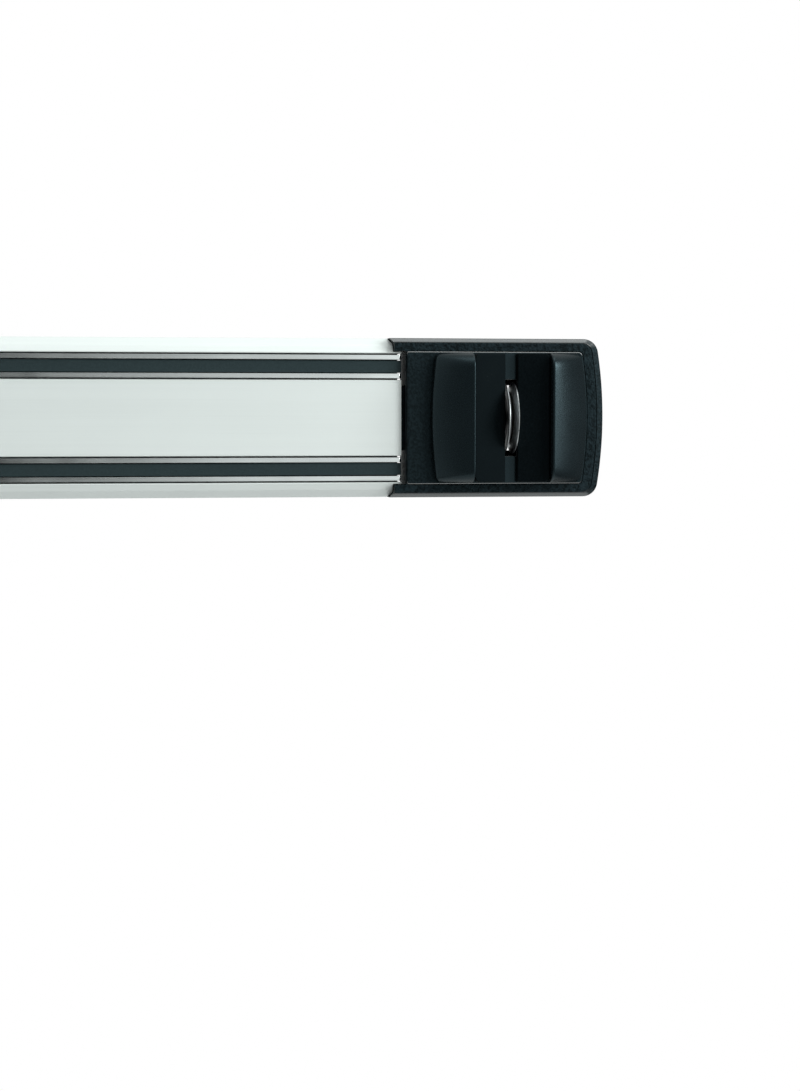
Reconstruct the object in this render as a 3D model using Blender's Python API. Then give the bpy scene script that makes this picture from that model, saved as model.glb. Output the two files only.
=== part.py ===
"""Wall-mounted magnetic knife rack with a pull-through knife sharpener at its right end.

Metres, +Z up. X runs along the bar, the wall is the plane Y = 0 and the rack's front faces -Y.
The origin is the middle of the bar's back face. Depths below are distances from the wall.
"""

import math

import bmesh
import bpy
from mathutils import Vector

# ---- Driving dimensions -------------------------------------------------------------------

RACK_LENGTH = 0.480
RACK_HEIGHT = 0.060
FIT_GAP = 0.0003

# How far a cutter runs past what it cuts, and a joined piece into what it joins
CUT_OVERRUN = 0.0010
JOIN_OVERLAP = 0.0005

# Aluminium bar
BAR_BACK_WEB = 0.0018
BAR_WALL = 0.0016
BAR_EDGE_DEPTH = 0.0085
BAR_SHOULDER_HEIGHT = 0.0271
BAR_SHOULDER_DEPTH = 0.0123
BAR_LIP_HEIGHT = 0.0247
BAR_LIP_DEPTH = 0.0137
BAR_FACE_DEPTH = 0.0135
GROOVE_OUTER = 0.0243
GROOVE_INNER = 0.0143
GROOVE_FLOOR_DEPTH = 0.0030
CENTRE_CHAMBER_HALF = 0.0125
KEYHOLE_X = 0.130
KEYHOLE_HEAD_RADIUS = 0.0046
KEYHOLE_NECK_RADIUS = 0.0023
KEYHOLE_NECK_LENGTH = 0.0080

# Magnetic rails
POLE_RAIL_WIDTH = 0.0018
POLE_RAIL_SIDE_GAP = 0.0006
POLE_RAIL_DEPTH = 0.0139
POLE_RAIL_END_RADIUS = 0.0010
FILLER_DEPTH = 0.0130
FILLER_THICKNESS = 0.0022
MAGNETS_PER_RAIL = 7
MAGNET_SPACING = 0.0020

# End mouldings: the sharpener housing on the right and the plain cap on the left
MOULDING_DEPTH = 0.0160
MOULDING_BEVEL = 0.0015
END_BEVEL_GAIN = 1.7
MOULDING_WALL = 0.0020
MOULDING_CORNER_RADIUS = 0.0057
MOULDING_BULGE_RADIUS = 0.160
HOUSING_LENGTH = 0.0823
LEFT_CAP_LENGTH = 0.0260
MITRE_RUN = 0.0016
MITRE_RISE = 0.0019
PRONG_HEIGHT = 0.0252
BAR_END_SETBACK = 0.0045
DECK_SETBACK = 0.0060
DECK_THICKNESS = 0.0018
PLATE_DEPTH = 0.0164
PLATE_THICKNESS = 0.0014
PLATE_LEFT_INSET = 0.0062
PLATE_RIGHT_INSET = 0.0065
PLATE_HALF_HEIGHT = 0.0250
PLATE_CORNER_RADIUS = 0.0015
PLATE_INNER_CORNER_RADIUS = 0.0008
TONGUE_LENGTH = 0.0175
TONGUE_SCREW_SETBACK = 0.0100
TONGUE_SCREW_HEIGHT = 0.0070

# Sharpener cap
CAP_X = 0.2027
CAP_HALF_WIDTH = 0.0295
CAP_HALF_HEIGHT = 0.0244
CAP_SIDE_RADIUS = 0.167
CAP_CORNER_RADIUS = 0.0025
CAP_EDGE_DEPTH = 0.0195
CAP_RIDGE_DEPTH = 0.0298
CAP_CROWN = 0.0010
CAP_END_ROUNDING = 0.0056
CAP_END_SHARE = 0.45
CAP_WALL = 0.0018
CAP_CAVITY_SETBACK = 0.0020
CHANNEL_HALF_WIDTH = 0.0147
CHANNEL_DRAFT = 0.0002
CHANNEL_FLOOR_DEPTH = 0.0202
WINDOW_HALF_WIDTH = 0.0040
WINDOW_HALF_HEIGHT = 0.0145
POST_WINDOW_HALF_WIDTH = 0.0115

# Blade guides
SLOT_HALF_WIDTH = 0.0023
GUIDE_OUTER_DEPTH = 0.0255
GUIDE_SLOT_DEPTH = 0.0230
GUIDE_CORNER_RADIUS = 0.0018

# Sharpening wheels
WHEEL_RADIUS = 0.0135
WHEEL_THICKNESS = 0.0018
WHEEL_RIM_THICKNESS = 0.0004
WHEEL_BEVEL_RADIUS = 0.0095
WHEEL_AXIS_DEPTH = 0.0158
AXLE_RADIUS = 0.0015
AXLE_HALF_LENGTH = 0.0100
BORE_CLEARANCE = 0.0001
SPACER_RADIUS = 0.0023
POST_OUTER = 0.0095
POST_INNER = 0.0062
POST_HALF_HEIGHT = 0.0040

# Back plate and its screws
BACK_PLATE_RECESS = 0.0024
BACK_PLATE_THICKNESS = 0.0016
BACK_WINDOW_HALF_WIDTH = 0.0045
BACK_WINDOW_HALF_HEIGHT = 0.0125
SCREW_X_OFFSET = 0.0215
SCREW_Z_OFFSET = 0.0165
SCREW_SHANK_RADIUS = 0.0015
SCREW_HEAD_RADIUS = 0.0028
SCREW_HEAD_HEIGHT = 0.0017
SCREW_HEAD_FLAT_RADIUS = 0.0020
SCREW_HEAD_EDGE_HEIGHT = 0.0010
SCREW_TIP_DEPTH = 0.0195
BOSS_RADIUS = 0.0036
BOSS_SETBACK = 0.0002
CAP_BOSS_TOP_DEPTH = 0.0220
COUNTERSINK_RADIUS = 0.0030
COUNTERSINK_DEPTH = 0.0013
TONGUE_SCREW_TIP_DEPTH = 0.0095

# ---- Values worked out from them ----------------------------------------------------------

HALF_LENGTH = RACK_LENGTH / 2
HALF_HEIGHT = RACK_HEIGHT / 2
HOUSING_TIP_X = HALF_LENGTH - HOUSING_LENGTH
LEFT_CAP_TIP_X = -(HALF_LENGTH - LEFT_CAP_LENGTH)
BAR_RIGHT_X = HOUSING_TIP_X + BAR_END_SETBACK
BAR_LEFT_X = LEFT_CAP_TIP_X - BAR_END_SETBACK
SCREW_HOLE_RADIUS = SCREW_SHANK_RADIUS + FIT_GAP
RECESS_DEPTH = PLATE_DEPTH - PLATE_THICKNESS - FIT_GAP
DECK_BACK_DEPTH = RECESS_DEPTH - DECK_THICKNESS
BACK_PLATE_FRONT = BACK_PLATE_RECESS + BACK_PLATE_THICKNESS
CAP_FOOT_DEPTH = PLATE_DEPTH + FIT_GAP


# ---- Materials ----------------------------------------------------------------------------


def make_material(name, colour, roughness, metallic):
    material = bpy.data.materials.new(name)
    material.use_nodes = True
    shader = material.node_tree.nodes["Principled BSDF"]
    shader.inputs["Base Color"].default_value = (*colour, 1.0)
    shader.inputs["Roughness"].default_value = roughness
    shader.inputs["Metallic"].default_value = metallic
    return material


def satin_aluminium():
    return make_material("satin_aluminium", (0.78, 0.80, 0.79), 0.38, 1.0)


def rail_steel():
    return make_material("rail_steel", (0.58, 0.60, 0.60), 0.30, 1.0)


def filler_plastic():
    return make_material("filler_plastic", (0.035, 0.045, 0.050), 0.60, 0.0)


def ferrite():
    return make_material("ferrite", (0.045, 0.045, 0.048), 0.75, 0.0)


def textured_black():
    return make_material("textured_black", (0.018, 0.021, 0.023), 0.55, 0.0)


def smooth_black():
    return make_material("smooth_black", (0.015, 0.018, 0.020), 0.30, 0.0)


def matt_black():
    return make_material("matt_black", (0.012, 0.014, 0.016), 0.70, 0.0)


def ground_steel():
    return make_material("ground_steel", (0.50, 0.51, 0.52), 0.42, 1.0)


def zinc_steel():
    return make_material("zinc_steel", (0.62, 0.63, 0.62), 0.32, 1.0)


# ---- Mesh tools ---------------------------------------------------------------------------


def finish_object(name, bm, material, smooth_degrees=None):
    """Turns a bmesh into a linked object with outward faces."""
    bmesh.ops.recalc_face_normals(bm, faces=bm.faces)
    mesh = bpy.data.meshes.new(name)
    bm.to_mesh(mesh)
    bm.free()
    if smooth_degrees is not None:
        mesh.shade_smooth()
        mesh.set_sharp_from_angle(angle=math.radians(smooth_degrees))
    obj = bpy.data.objects.new(name, mesh)
    bpy.context.scene.collection.objects.link(obj)
    if material is not None:
        mesh.materials.append(material)
    return obj


def extrude_loops(bm, loops, travel):
    """Fills one outline and the holes in it, then extrudes the face by travel."""
    edges = []
    for loop in loops:
        verts = [bm.verts.new(point) for point in loop]
        pairs = zip(verts, verts[1:] + verts[:1])
        edges += [bm.edges.new(pair) for pair in pairs]
    filled = bmesh.ops.triangle_fill(bm, use_beauty=True, edges=edges)
    faces = [item for item in filled["geom"] if isinstance(item, bmesh.types.BMFace)]
    grown = bmesh.ops.extrude_face_region(bm, geom=faces)
    moved = [item for item in grown["geom"] if isinstance(item, bmesh.types.BMVert)]
    bmesh.ops.translate(bm, verts=moved, vec=Vector(travel))


def join_rings(bm, rings):
    """Walls between rings with equal numbers of points, and a flat lid on the first and the last."""
    count = len(rings[0])
    for first, second in zip(rings, rings[1:]):
        for step in range(count):
            after = (step + 1) % count
            bm.faces.new([first[step], first[after], second[after], second[step]])
    for ring in (rings[0], rings[-1]):
        pairs = zip(ring, ring[1:] + ring[:1])
        edges = [bm.edges.get(pair) for pair in pairs]
        bmesh.ops.triangle_fill(bm, use_beauty=True, edges=edges)


def front_prism(name, outline, back_depth, front_depth, material=None, holes=()):
    """A plate with an (x, z) outline, between two depths from the wall."""
    bm = bmesh.new()
    loops = [[(x, -back_depth, z) for x, z in loop] for loop in (outline, *holes)]
    extrude_loops(bm, loops, (0, back_depth - front_depth, 0))
    return finish_object(name, bm, material)


def long_prism(name, section, start_x, end_x, material=None, holes=()):
    """A length of profile with a (z, depth) section, between two places along the bar."""
    bm = bmesh.new()
    loops = [[(start_x, -depth, z) for z, depth in loop] for loop in (section, *holes)]
    extrude_loops(bm, loops, (end_x - start_x, 0, 0))
    return finish_object(name, bm, material)


def box(name, x_range, depth_range, z_range, material=None):
    outline = rectangle(x_range, z_range)
    return front_prism(name, outline, depth_range[0], depth_range[1], material)


def rectangle(x_range, z_range):
    return [
        (x_range[0], z_range[0]),
        (x_range[1], z_range[0]),
        (x_range[1], z_range[1]),
        (x_range[0], z_range[1]),
    ]


def ring_of(points_per_turn, radius):
    """Points of a circle about the first axis, as (across, up) pairs."""
    angles = [2 * math.pi * step / points_per_turn for step in range(points_per_turn)]
    return [(radius * math.cos(angle), radius * math.sin(angle)) for angle in angles]


def turned(name, profile, centre, axis, material=None, segments=32, smooth_degrees=35):
    """Turns a closed (along, radius) profile about an axis, 'X' or '-Y', through centre.

    A point with radius 0 becomes a pole. A profile with none makes a ring with a bore.
    """
    bm = bmesh.new()
    rings = []
    for along, radius in profile:
        spots = ring_of(segments, radius) if radius > 0 else [(0.0, 0.0)]
        ring = []
        for across, up in spots:
            offset = (along, across, up) if axis == "X" else (across, -along, up)
            ring.append(bm.verts.new(Vector(centre) + Vector(offset)))
        rings.append(ring)
    for first, second in zip(rings, rings[1:] + rings[:1]):
        if len(first) == 1 and len(second) == 1:
            continue
        for step in range(segments):
            after = (step + 1) % segments
            corners = [first[step % len(first)], second[step % len(second)]]
            corners += [second[after % len(second)], first[after % len(first)]]
            bm.faces.new(list(dict.fromkeys(corners)))
    return finish_object(name, bm, material, smooth_degrees)


def peg(name, x, z, back_depth, front_depth, radius, material=None, segments=24):
    """A plain cylinder standing out from the wall."""
    length = front_depth - back_depth
    profile = [(0, 0), (0, radius), (length, radius), (length, 0)]
    return turned(name, profile, (x, -back_depth, z), "-Y", material, segments)


def as_helper(obj):
    obj.hide_render = True
    obj.display_type = "WIRE"
    return obj


def combine(target, helper, operation):
    as_helper(helper)
    modifier = target.modifiers.new(helper.name, "BOOLEAN")
    modifier.operation = operation
    modifier.solver = "EXACT"
    modifier.object = helper


def cut(target, helper):
    combine(target, helper, "DIFFERENCE")


def add(target, helper):
    combine(target, helper, "UNION")


def arc(centre, radius, start_degrees, end_degrees, steps):
    """Points along an arc, as (x, z) pairs, from one angle to the other."""
    points = []
    for step in range(steps + 1):
        angle = math.radians(start_degrees + (end_degrees - start_degrees) * step / steps)
        points.append((centre[0] + radius * math.cos(angle), centre[1] + radius * math.sin(angle)))
    return points


def bulging_end(end_x, half_height, bulge_radius, corner_radius, side=1):
    """The rounded end of a moulding, from its top corner to its bottom one, facing side * X."""
    inner_bulge = bulge_radius - corner_radius
    corner_z = half_height - corner_radius
    swing = math.degrees(math.asin(corner_z / inner_bulge))
    bulge_centre = end_x - bulge_radius
    corner_x = bulge_centre + inner_bulge * math.cos(math.radians(swing))
    points = arc((corner_x, corner_z), corner_radius, 90, swing, 5)
    points += arc((bulge_centre, 0), bulge_radius, swing, -swing, 8)[1:-1]
    points += arc((corner_x, -corner_z), corner_radius, -swing, -90, 5)
    return [(side * x, z) for x, z in points]


# ---- Bar ----------------------------------------------------------------------------------


def mirrored_section(upper):
    """Adds the lower half of a section that is given from its top edge to its middle."""
    return upper + [(-z, depth) for z, depth in reversed(upper)]


def bar_section():
    upper = [
        (HALF_HEIGHT, 0),
        (HALF_HEIGHT, BAR_EDGE_DEPTH),
        (BAR_SHOULDER_HEIGHT, BAR_SHOULDER_DEPTH),
        (BAR_LIP_HEIGHT, BAR_LIP_DEPTH),
        (GROOVE_OUTER, BAR_LIP_DEPTH),
        (GROOVE_OUTER, GROOVE_FLOOR_DEPTH),
        (GROOVE_INNER, GROOVE_FLOOR_DEPTH),
        (GROOVE_INNER, BAR_FACE_DEPTH),
    ]
    return mirrored_section(upper)


def centre_chamber():
    top = BAR_FACE_DEPTH - BAR_WALL
    half = CENTRE_CHAMBER_HALF
    return [(half, BAR_BACK_WEB), (half, top), (-half, top), (-half, BAR_BACK_WEB)]


def side_chamber(side):
    inner = GROOVE_OUTER + BAR_WALL
    outer = HALF_HEIGHT - BAR_WALL
    corners = [
        (inner, BAR_BACK_WEB),
        (outer, BAR_BACK_WEB),
        (outer, BAR_EDGE_DEPTH - BAR_WALL / 2),
        (inner, BAR_SHOULDER_DEPTH - BAR_WALL / 2),
    ]
    return [(side * z, depth) for z, depth in corners]


def keyhole_outline(x):
    """A round entry with a narrower slot above it."""
    half_angle = math.degrees(math.asin(KEYHOLE_NECK_RADIUS / KEYHOLE_HEAD_RADIUS))
    points = arc((x, 0), KEYHOLE_HEAD_RADIUS, 90 + half_angle, 450 - half_angle, 20)
    points += arc((x, KEYHOLE_NECK_LENGTH), KEYHOLE_NECK_RADIUS, 0, 180, 8)
    return points


def end_mill_outline(tip_x, side, edge):
    """What is milled off the bar's long edge so that a moulding's prong can lap over it."""
    far_x = tip_x + side * 2 * BAR_END_SETBACK
    start_x = tip_x - side * FIT_GAP
    low = edge * (PRONG_HEIGHT - FIT_GAP)
    bend = edge * (HALF_HEIGHT - MITRE_RISE)
    high = edge * (HALF_HEIGHT + MITRE_RISE)
    outer_x = start_x - side * MITRE_RUN
    bend_x = start_x + side * MITRE_RUN
    return [(outer_x, high), (bend_x, bend), (bend_x, low), (far_x, low), (far_x, high)]


def countersink(name, x, z):
    """The hole for a countersunk screw that goes in from the wall side."""
    mouth = COUNTERSINK_RADIUS + FIT_GAP
    profile = [
        (-FIT_GAP, 0),
        (-FIT_GAP, mouth),
        (0, mouth),
        (COUNTERSINK_DEPTH, SCREW_HOLE_RADIUS),
        (BAR_BACK_WEB + FIT_GAP, SCREW_HOLE_RADIUS),
        (BAR_BACK_WEB + FIT_GAP, 0),
    ]
    return turned(name, profile, (x, 0, z), "-Y", segments=24)


def build_bar(material):
    chambers = [centre_chamber(), side_chamber(1), side_chamber(-1)]
    bar = long_prism("bar_profile", bar_section(), BAR_LEFT_X, BAR_RIGHT_X, material, chambers)
    for place, x in (("left", -KEYHOLE_X), ("right", KEYHOLE_X)):
        hole = front_prism(f"keyhole_{place}", keyhole_outline(x), -FIT_GAP, BAR_BACK_WEB + FIT_GAP)
        cut(bar, hole)
    for end, tip_x, side in (("left", LEFT_CAP_TIP_X, -1), ("right", HOUSING_TIP_X, 1)):
        for level, edge in (("upper", 1), ("lower", -1)):
            outline = end_mill_outline(tip_x, side, edge)
            cut(bar, front_prism(f"mill_{end}_{level}", outline, -CUT_OVERRUN, 2 * MOULDING_DEPTH))
            x = tongue_screw_x(tip_x, side)
            cut(bar, countersink(f"countersink_{end}_{level}", x, edge * TONGUE_SCREW_HEIGHT))
    return bar


# ---- Magnetic rails -----------------------------------------------------------------------


def build_pole_rail(name, z_low, z_high, material):
    """A steel strip on edge, with its two front corners rounded off at the ends."""
    radius = POLE_RAIL_END_RADIUS
    back = GROOVE_FLOOR_DEPTH + FIT_GAP
    front = POLE_RAIL_DEPTH
    right = arc((BAR_RIGHT_X - radius, front - radius), radius, 0, 90, 4)
    left = arc((BAR_LEFT_X + radius, front - radius), radius, 90, 180, 4)
    outline = [(BAR_LEFT_X, back), (BAR_RIGHT_X, back)] + right + left
    bm = bmesh.new()
    loop = [(x, -depth, z_low) for x, depth in outline]
    extrude_loops(bm, [loop], (0, 0, z_high - z_low))
    return finish_object(name, bm, material)


def between_rails():
    """The z range that the magnets and the filler fill between one pair of rails."""
    low = GROOVE_INNER + POLE_RAIL_SIDE_GAP + POLE_RAIL_WIDTH + FIT_GAP
    high = GROOVE_OUTER - POLE_RAIL_SIDE_GAP - POLE_RAIL_WIDTH - FIT_GAP
    return low, high


def ordered(low, high, side):
    return (low, high) if side > 0 else (-high, -low)


def build_rail_set(level, side, steel, plastic, magnet_material):
    outer_high = GROOVE_OUTER - POLE_RAIL_SIDE_GAP
    inner_low = GROOVE_INNER + POLE_RAIL_SIDE_GAP
    outer = ordered(outer_high - POLE_RAIL_WIDTH, outer_high, side)
    inner = ordered(inner_low, inner_low + POLE_RAIL_WIDTH, side)
    build_pole_rail(f"{level}_outer_pole_rail", *outer, steel)
    build_pole_rail(f"{level}_inner_pole_rail", *inner, steel)
    z_range = ordered(*between_rails(), side)
    filler_back = FILLER_DEPTH - FILLER_THICKNESS
    x_range = (BAR_LEFT_X, BAR_RIGHT_X)
    box(f"{level}_filler_strip", x_range, (filler_back, FILLER_DEPTH), z_range, plastic)
    pitch = (BAR_RIGHT_X - BAR_LEFT_X) / MAGNETS_PER_RAIL
    depths = (GROOVE_FLOOR_DEPTH + FIT_GAP, filler_back - FIT_GAP)
    for index in range(MAGNETS_PER_RAIL):
        start = BAR_LEFT_X + pitch * index + MAGNET_SPACING / 2
        reach = (start, start + pitch - MAGNET_SPACING)
        box(f"{level}_magnet_{index + 1}", reach, depths, z_range, magnet_material)


# ---- End mouldings ------------------------------------------------------------------------


def moulding_outline(tip_x, side, inset):
    """The front outline of an end moulding, with the two prongs that lap over the bar.

    The bevel is wider at the bulging end, so an inset counts for more there.
    """
    end_x = HALF_LENGTH - inset * END_BEVEL_GAIN
    half = HALF_HEIGHT - inset
    bulge = MOULDING_BULGE_RADIUS - inset
    corner = MOULDING_CORNER_RADIUS - inset
    slide = MITRE_RUN * inset / MITRE_RISE
    start = side * tip_x + slide
    bend = side * tip_x + MITRE_RUN
    deck = side * tip_x + DECK_SETBACK
    bend_z = HALF_HEIGHT - MITRE_RISE
    points = [(start, half)] + bulging_end(end_x, half, bulge, corner)
    points += [(start, -half), (bend, -bend_z), (bend, -PRONG_HEIGHT), (deck, -PRONG_HEIGHT)]
    points += [(deck, PRONG_HEIGHT), (bend, PRONG_HEIGHT), (bend, bend_z)]
    return [(side * x, z) for x, z in points]


def bevelled_block(name, outlines, depths, material):
    """A solid through outlines with equal numbers of points, one at each depth."""
    bm = bmesh.new()
    rings = []
    for outline, depth in zip(outlines, depths):
        rings.append([bm.verts.new((x, -depth, z)) for x, z in outline])
    join_rings(bm, rings)
    return finish_object(name, bm, material, 30)


def tongue_screw_x(tip_x, side):
    return tip_x + side * (DECK_SETBACK - TONGUE_SCREW_SETBACK)


def plate_outline(tip_x, side, grow=0.0):
    """The outline of the plate inside a moulding's rim, and of its recess when grown."""
    start = side * tip_x + PLATE_LEFT_INSET - grow
    end = HALF_LENGTH - PLATE_RIGHT_INSET + grow
    half = PLATE_HALF_HEIGHT + grow
    radius = PLATE_CORNER_RADIUS + grow
    inner = MOULDING_BULGE_RADIUS - PLATE_RIGHT_INSET + grow
    points = bulging_end(end, half, inner, radius)
    radius = PLATE_INNER_CORNER_RADIUS + grow
    points += arc((start + radius, -half + radius), radius, -90, -180, 4)
    points += arc((start + radius, half - radius), radius, 180, 90, 4)
    return [(side * x, z) for x, z in points]


def hollow_outline(tip_x, side):
    start = side * tip_x + DECK_SETBACK + MOULDING_WALL
    half = HALF_HEIGHT - MOULDING_WALL
    end = HALF_LENGTH - MOULDING_WALL
    bulge = MOULDING_BULGE_RADIUS - MOULDING_WALL
    corner = MOULDING_CORNER_RADIUS - MOULDING_WALL
    points = bulging_end(end, half, bulge, corner) + [(start, -half), (start, half)]
    return [(side * x, z) for x, z in points]


def build_moulding(name, tip_x, side, material):
    """A hollow end moulding: bevelled rim, recess for the plate, prongs and tongue."""
    outlines = [moulding_outline(tip_x, side, inset) for inset in (0.0, 0.0, MOULDING_BEVEL)]
    depths = (0.0, MOULDING_DEPTH - MOULDING_BEVEL, MOULDING_DEPTH)
    moulding = bevelled_block(name, outlines, depths, material)
    recess = plate_outline(tip_x, side, FIT_GAP)
    cut(moulding, front_prism(f"{name}_recess", recess, RECESS_DEPTH, 2 * MOULDING_DEPTH))
    hollow = hollow_outline(tip_x, side)
    cut(moulding, front_prism(f"{name}_hollow", hollow, -CUT_OVERRUN, DECK_BACK_DEPTH))
    root_x = tip_x + side * (DECK_SETBACK + MOULDING_WALL / 2)
    end_x = tip_x + side * (DECK_SETBACK - TONGUE_LENGTH)
    half = CENTRE_CHAMBER_HALF - FIT_GAP
    depths = (BAR_BACK_WEB + FIT_GAP, BAR_FACE_DEPTH - BAR_WALL - FIT_GAP)
    x_range = (min(root_x, end_x), max(root_x, end_x))
    add(moulding, box(f"{name}_tongue", x_range, depths, (-half, half)))
    for level, edge in (("upper", 1), ("lower", -1)):
        x = tongue_screw_x(tip_x, side)
        z = edge * TONGUE_SCREW_HEIGHT
        hole = peg(f"{name}_pilot_{level}", x, z, 0, depths[1] + CUT_OVERRUN, SCREW_HOLE_RADIUS)
        cut(moulding, hole)
    return moulding


def build_countersunk_screw(name, x, z, material):
    profile = [
        (FIT_GAP / 3, 0),
        (FIT_GAP / 3, COUNTERSINK_RADIUS - FIT_GAP / 3),
        (COUNTERSINK_DEPTH + FIT_GAP / 3, SCREW_SHANK_RADIUS),
        (TONGUE_SCREW_TIP_DEPTH - SCREW_SHANK_RADIUS, SCREW_SHANK_RADIUS),
        (TONGUE_SCREW_TIP_DEPTH, 0),
    ]
    return turned(name, profile, (x, 0, z), "-Y", material, segments=24)


# ---- Sharpener ----------------------------------------------------------------------------


def screw_places():
    for across in (-1, 1):
        for up in (1, -1):
            yield CAP_X + across * SCREW_X_OFFSET, up * SCREW_Z_OFFSET


def post_window():
    """The opening in the housing's deck and in the face plate for the wheels and the axle posts."""
    x_range = (CAP_X - POST_WINDOW_HALF_WIDTH, CAP_X + POST_WINDOW_HALF_WIDTH)
    return rectangle(x_range, (-WINDOW_HALF_HEIGHT, WINDOW_HALF_HEIGHT))


def build_housing(material):
    housing = build_moulding("sharpener_housing", HOUSING_TIP_X, 1, material)
    cut(housing, front_prism("housing_window", post_window(), DECK_BACK_DEPTH - CUT_OVERRUN, MOULDING_DEPTH))
    boss_back = BACK_PLATE_FRONT + FIT_GAP
    boss_front = DECK_BACK_DEPTH + JOIN_OVERLAP
    for index, (x, z) in enumerate(screw_places()):
        add(housing, peg(f"housing_boss_{index}", x, z, boss_back, boss_front, BOSS_RADIUS))
        hole = peg(f"housing_hole_{index}", x, z, 0, MOULDING_DEPTH, SCREW_HOLE_RADIUS)
        cut(housing, hole)
    return housing


def build_face_plate(name, tip_x, side, material):
    outline = plate_outline(tip_x, side)
    return front_prism(name, outline, PLATE_DEPTH - PLATE_THICKNESS, PLATE_DEPTH, material)


def build_sharpener_plate(material):
    plate = build_face_plate("sharpener_face_plate", HOUSING_TIP_X, 1, material)
    cut(plate, front_prism("plate_window", post_window(), DECK_BACK_DEPTH, 2 * PLATE_DEPTH))
    for index, (x, z) in enumerate(screw_places()):
        cut(plate, peg(f"plate_hole_{index}", x, z, 0, 2 * PLATE_DEPTH, SCREW_HOLE_RADIUS))
    return plate


def cap_half_width(z):
    """Half the cap's width at a height: two shallow arcs that end in round corners."""
    width = CAP_HALF_WIDTH - z * z / (2 * CAP_SIDE_RADIUS)
    past_corner = abs(z) - (CAP_HALF_HEIGHT - CAP_CORNER_RADIUS)
    if past_corner > 0:
        width -= CAP_CORNER_RADIUS - math.sqrt(max(0.0, CAP_CORNER_RADIUS**2 - past_corner**2))
    return width


def cap_end_share(z):
    """How much of the cap's height above the plate is left near its top and bottom ends."""
    past = (abs(z) - (CAP_HALF_HEIGHT - CAP_END_ROUNDING)) / CAP_END_ROUNDING
    if past <= 0:
        return 1.0
    return CAP_END_SHARE + (1 - CAP_END_SHARE) * math.sqrt(max(0.0, 1 - past * past))


def cap_depth(across, width, z):
    """The cap's depth at a distance across from its middle line, on the pillow's surface."""
    share = (abs(across) - CHANNEL_HALF_WIDTH) / (width - CHANNEL_HALF_WIDTH)
    line = CAP_RIDGE_DEPTH + (CAP_EDGE_DEPTH - CAP_RIDGE_DEPTH) * share
    crown = CAP_CROWN * 4 * share * (1 - share)
    return PLATE_DEPTH + (line + crown - PLATE_DEPTH) * cap_end_share(z)


def cap_rows():
    """Heights of the cap's cross-sections, close together where its ends are round."""
    straight = CAP_HALF_HEIGHT - CAP_END_ROUNDING
    middle = [straight * step / 4 for step in range(-4, 5)]
    turn = [straight + CAP_END_ROUNDING * math.sin(math.radians(90 * s / 6)) for s in range(1, 7)]
    return [-z for z in reversed(turn)] + middle + turn


def cap_row_points(z):
    """(x, depth) points of one cross-section, from the cap's left foot to its right foot."""
    width = cap_half_width(z)
    shares = [step / 6 for step in range(7)]
    wing = []
    for share in shares:
        across = width + (CHANNEL_HALF_WIDTH - width) * share
        wing.append((across, cap_depth(across, width, z)))
    wing.insert(0, (width, CAP_FOOT_DEPTH))
    floor = min(CHANNEL_FLOOR_DEPTH, wing[-1][1] - JOIN_OVERLAP)
    wing.append((CHANNEL_HALF_WIDTH - CHANNEL_DRAFT, floor))
    left = [(CAP_X - across, depth) for across, depth in wing]
    right = [(CAP_X + across, depth) for across, depth in reversed(wing)]
    return left + right


def cap_body(material):
    bm = bmesh.new()
    rows = []
    for z in cap_rows():
        rows.append([bm.verts.new((x, -depth, z)) for x, depth in cap_row_points(z)])
    join_rings(bm, rows)
    return finish_object("sharpener_cap", bm, material, 40)


def cap_cavity(side):
    """The wedge-shaped hollow under one half of the pillow."""
    outer = CAP_HALF_WIDTH - CAP_WALL - CAP_CAVITY_SETBACK
    inner = CHANNEL_HALF_WIDTH + CAP_WALL - CHANNEL_DRAFT
    outer_top = CAP_EDGE_DEPTH - CAP_WALL
    inner_top = CAP_RIDGE_DEPTH - 2 * CAP_WALL
    corners = [(outer, 0), (outer, outer_top), (inner, inner_top), (inner, 0)]
    reach = CAP_HALF_HEIGHT - CAP_END_ROUNDING
    bm = bmesh.new()
    loop = [(CAP_X + side * across, -depth, -reach) for across, depth in corners]
    extrude_loops(bm, [loop], (0, 0, 2 * reach))
    return finish_object(f"cap_cavity_{side}", bm, None)


def build_cap(material):
    cap = cap_body(material)
    for side in (-1, 1):
        cut(cap, cap_cavity(side))
    inner = CHANNEL_HALF_WIDTH - CAP_WALL
    reach = CAP_HALF_HEIGHT - CAP_END_ROUNDING
    ceiling = CHANNEL_FLOOR_DEPTH - CAP_WALL
    cut(cap, box("cap_hollow", (CAP_X - inner, CAP_X + inner), (0, ceiling), (-reach, reach)))
    window_x = (CAP_X - WINDOW_HALF_WIDTH, CAP_X + WINDOW_HALF_WIDTH)
    window_z = (-WINDOW_HALF_HEIGHT, WINDOW_HALF_HEIGHT)
    cut(cap, box("cap_window", window_x, (0, 2 * CAP_RIDGE_DEPTH), window_z))
    rib_depths = (WHEEL_AXIS_DEPTH + AXLE_RADIUS + FIT_GAP, ceiling + BOSS_SETBACK)
    for side in (-1, 1):
        rib_x = [CAP_X + side * POST_INNER, CAP_X + side * POST_OUTER]
        add(cap, box(f"cap_rib_{side}", rib_x, rib_depths, (-AXLE_RADIUS, AXLE_RADIUS)))
    for index, (x, z) in enumerate(screw_places()):
        foot = CAP_FOOT_DEPTH + BOSS_SETBACK
        add(cap, peg(f"cap_boss_{index}", x, z, foot, CAP_BOSS_TOP_DEPTH, BOSS_RADIUS))
        hole_end = SCREW_TIP_DEPTH + FIT_GAP
        cut(cap, peg(f"cap_hole_{index}", x, z, 0, hole_end, SCREW_HOLE_RADIUS))
    return cap


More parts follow.
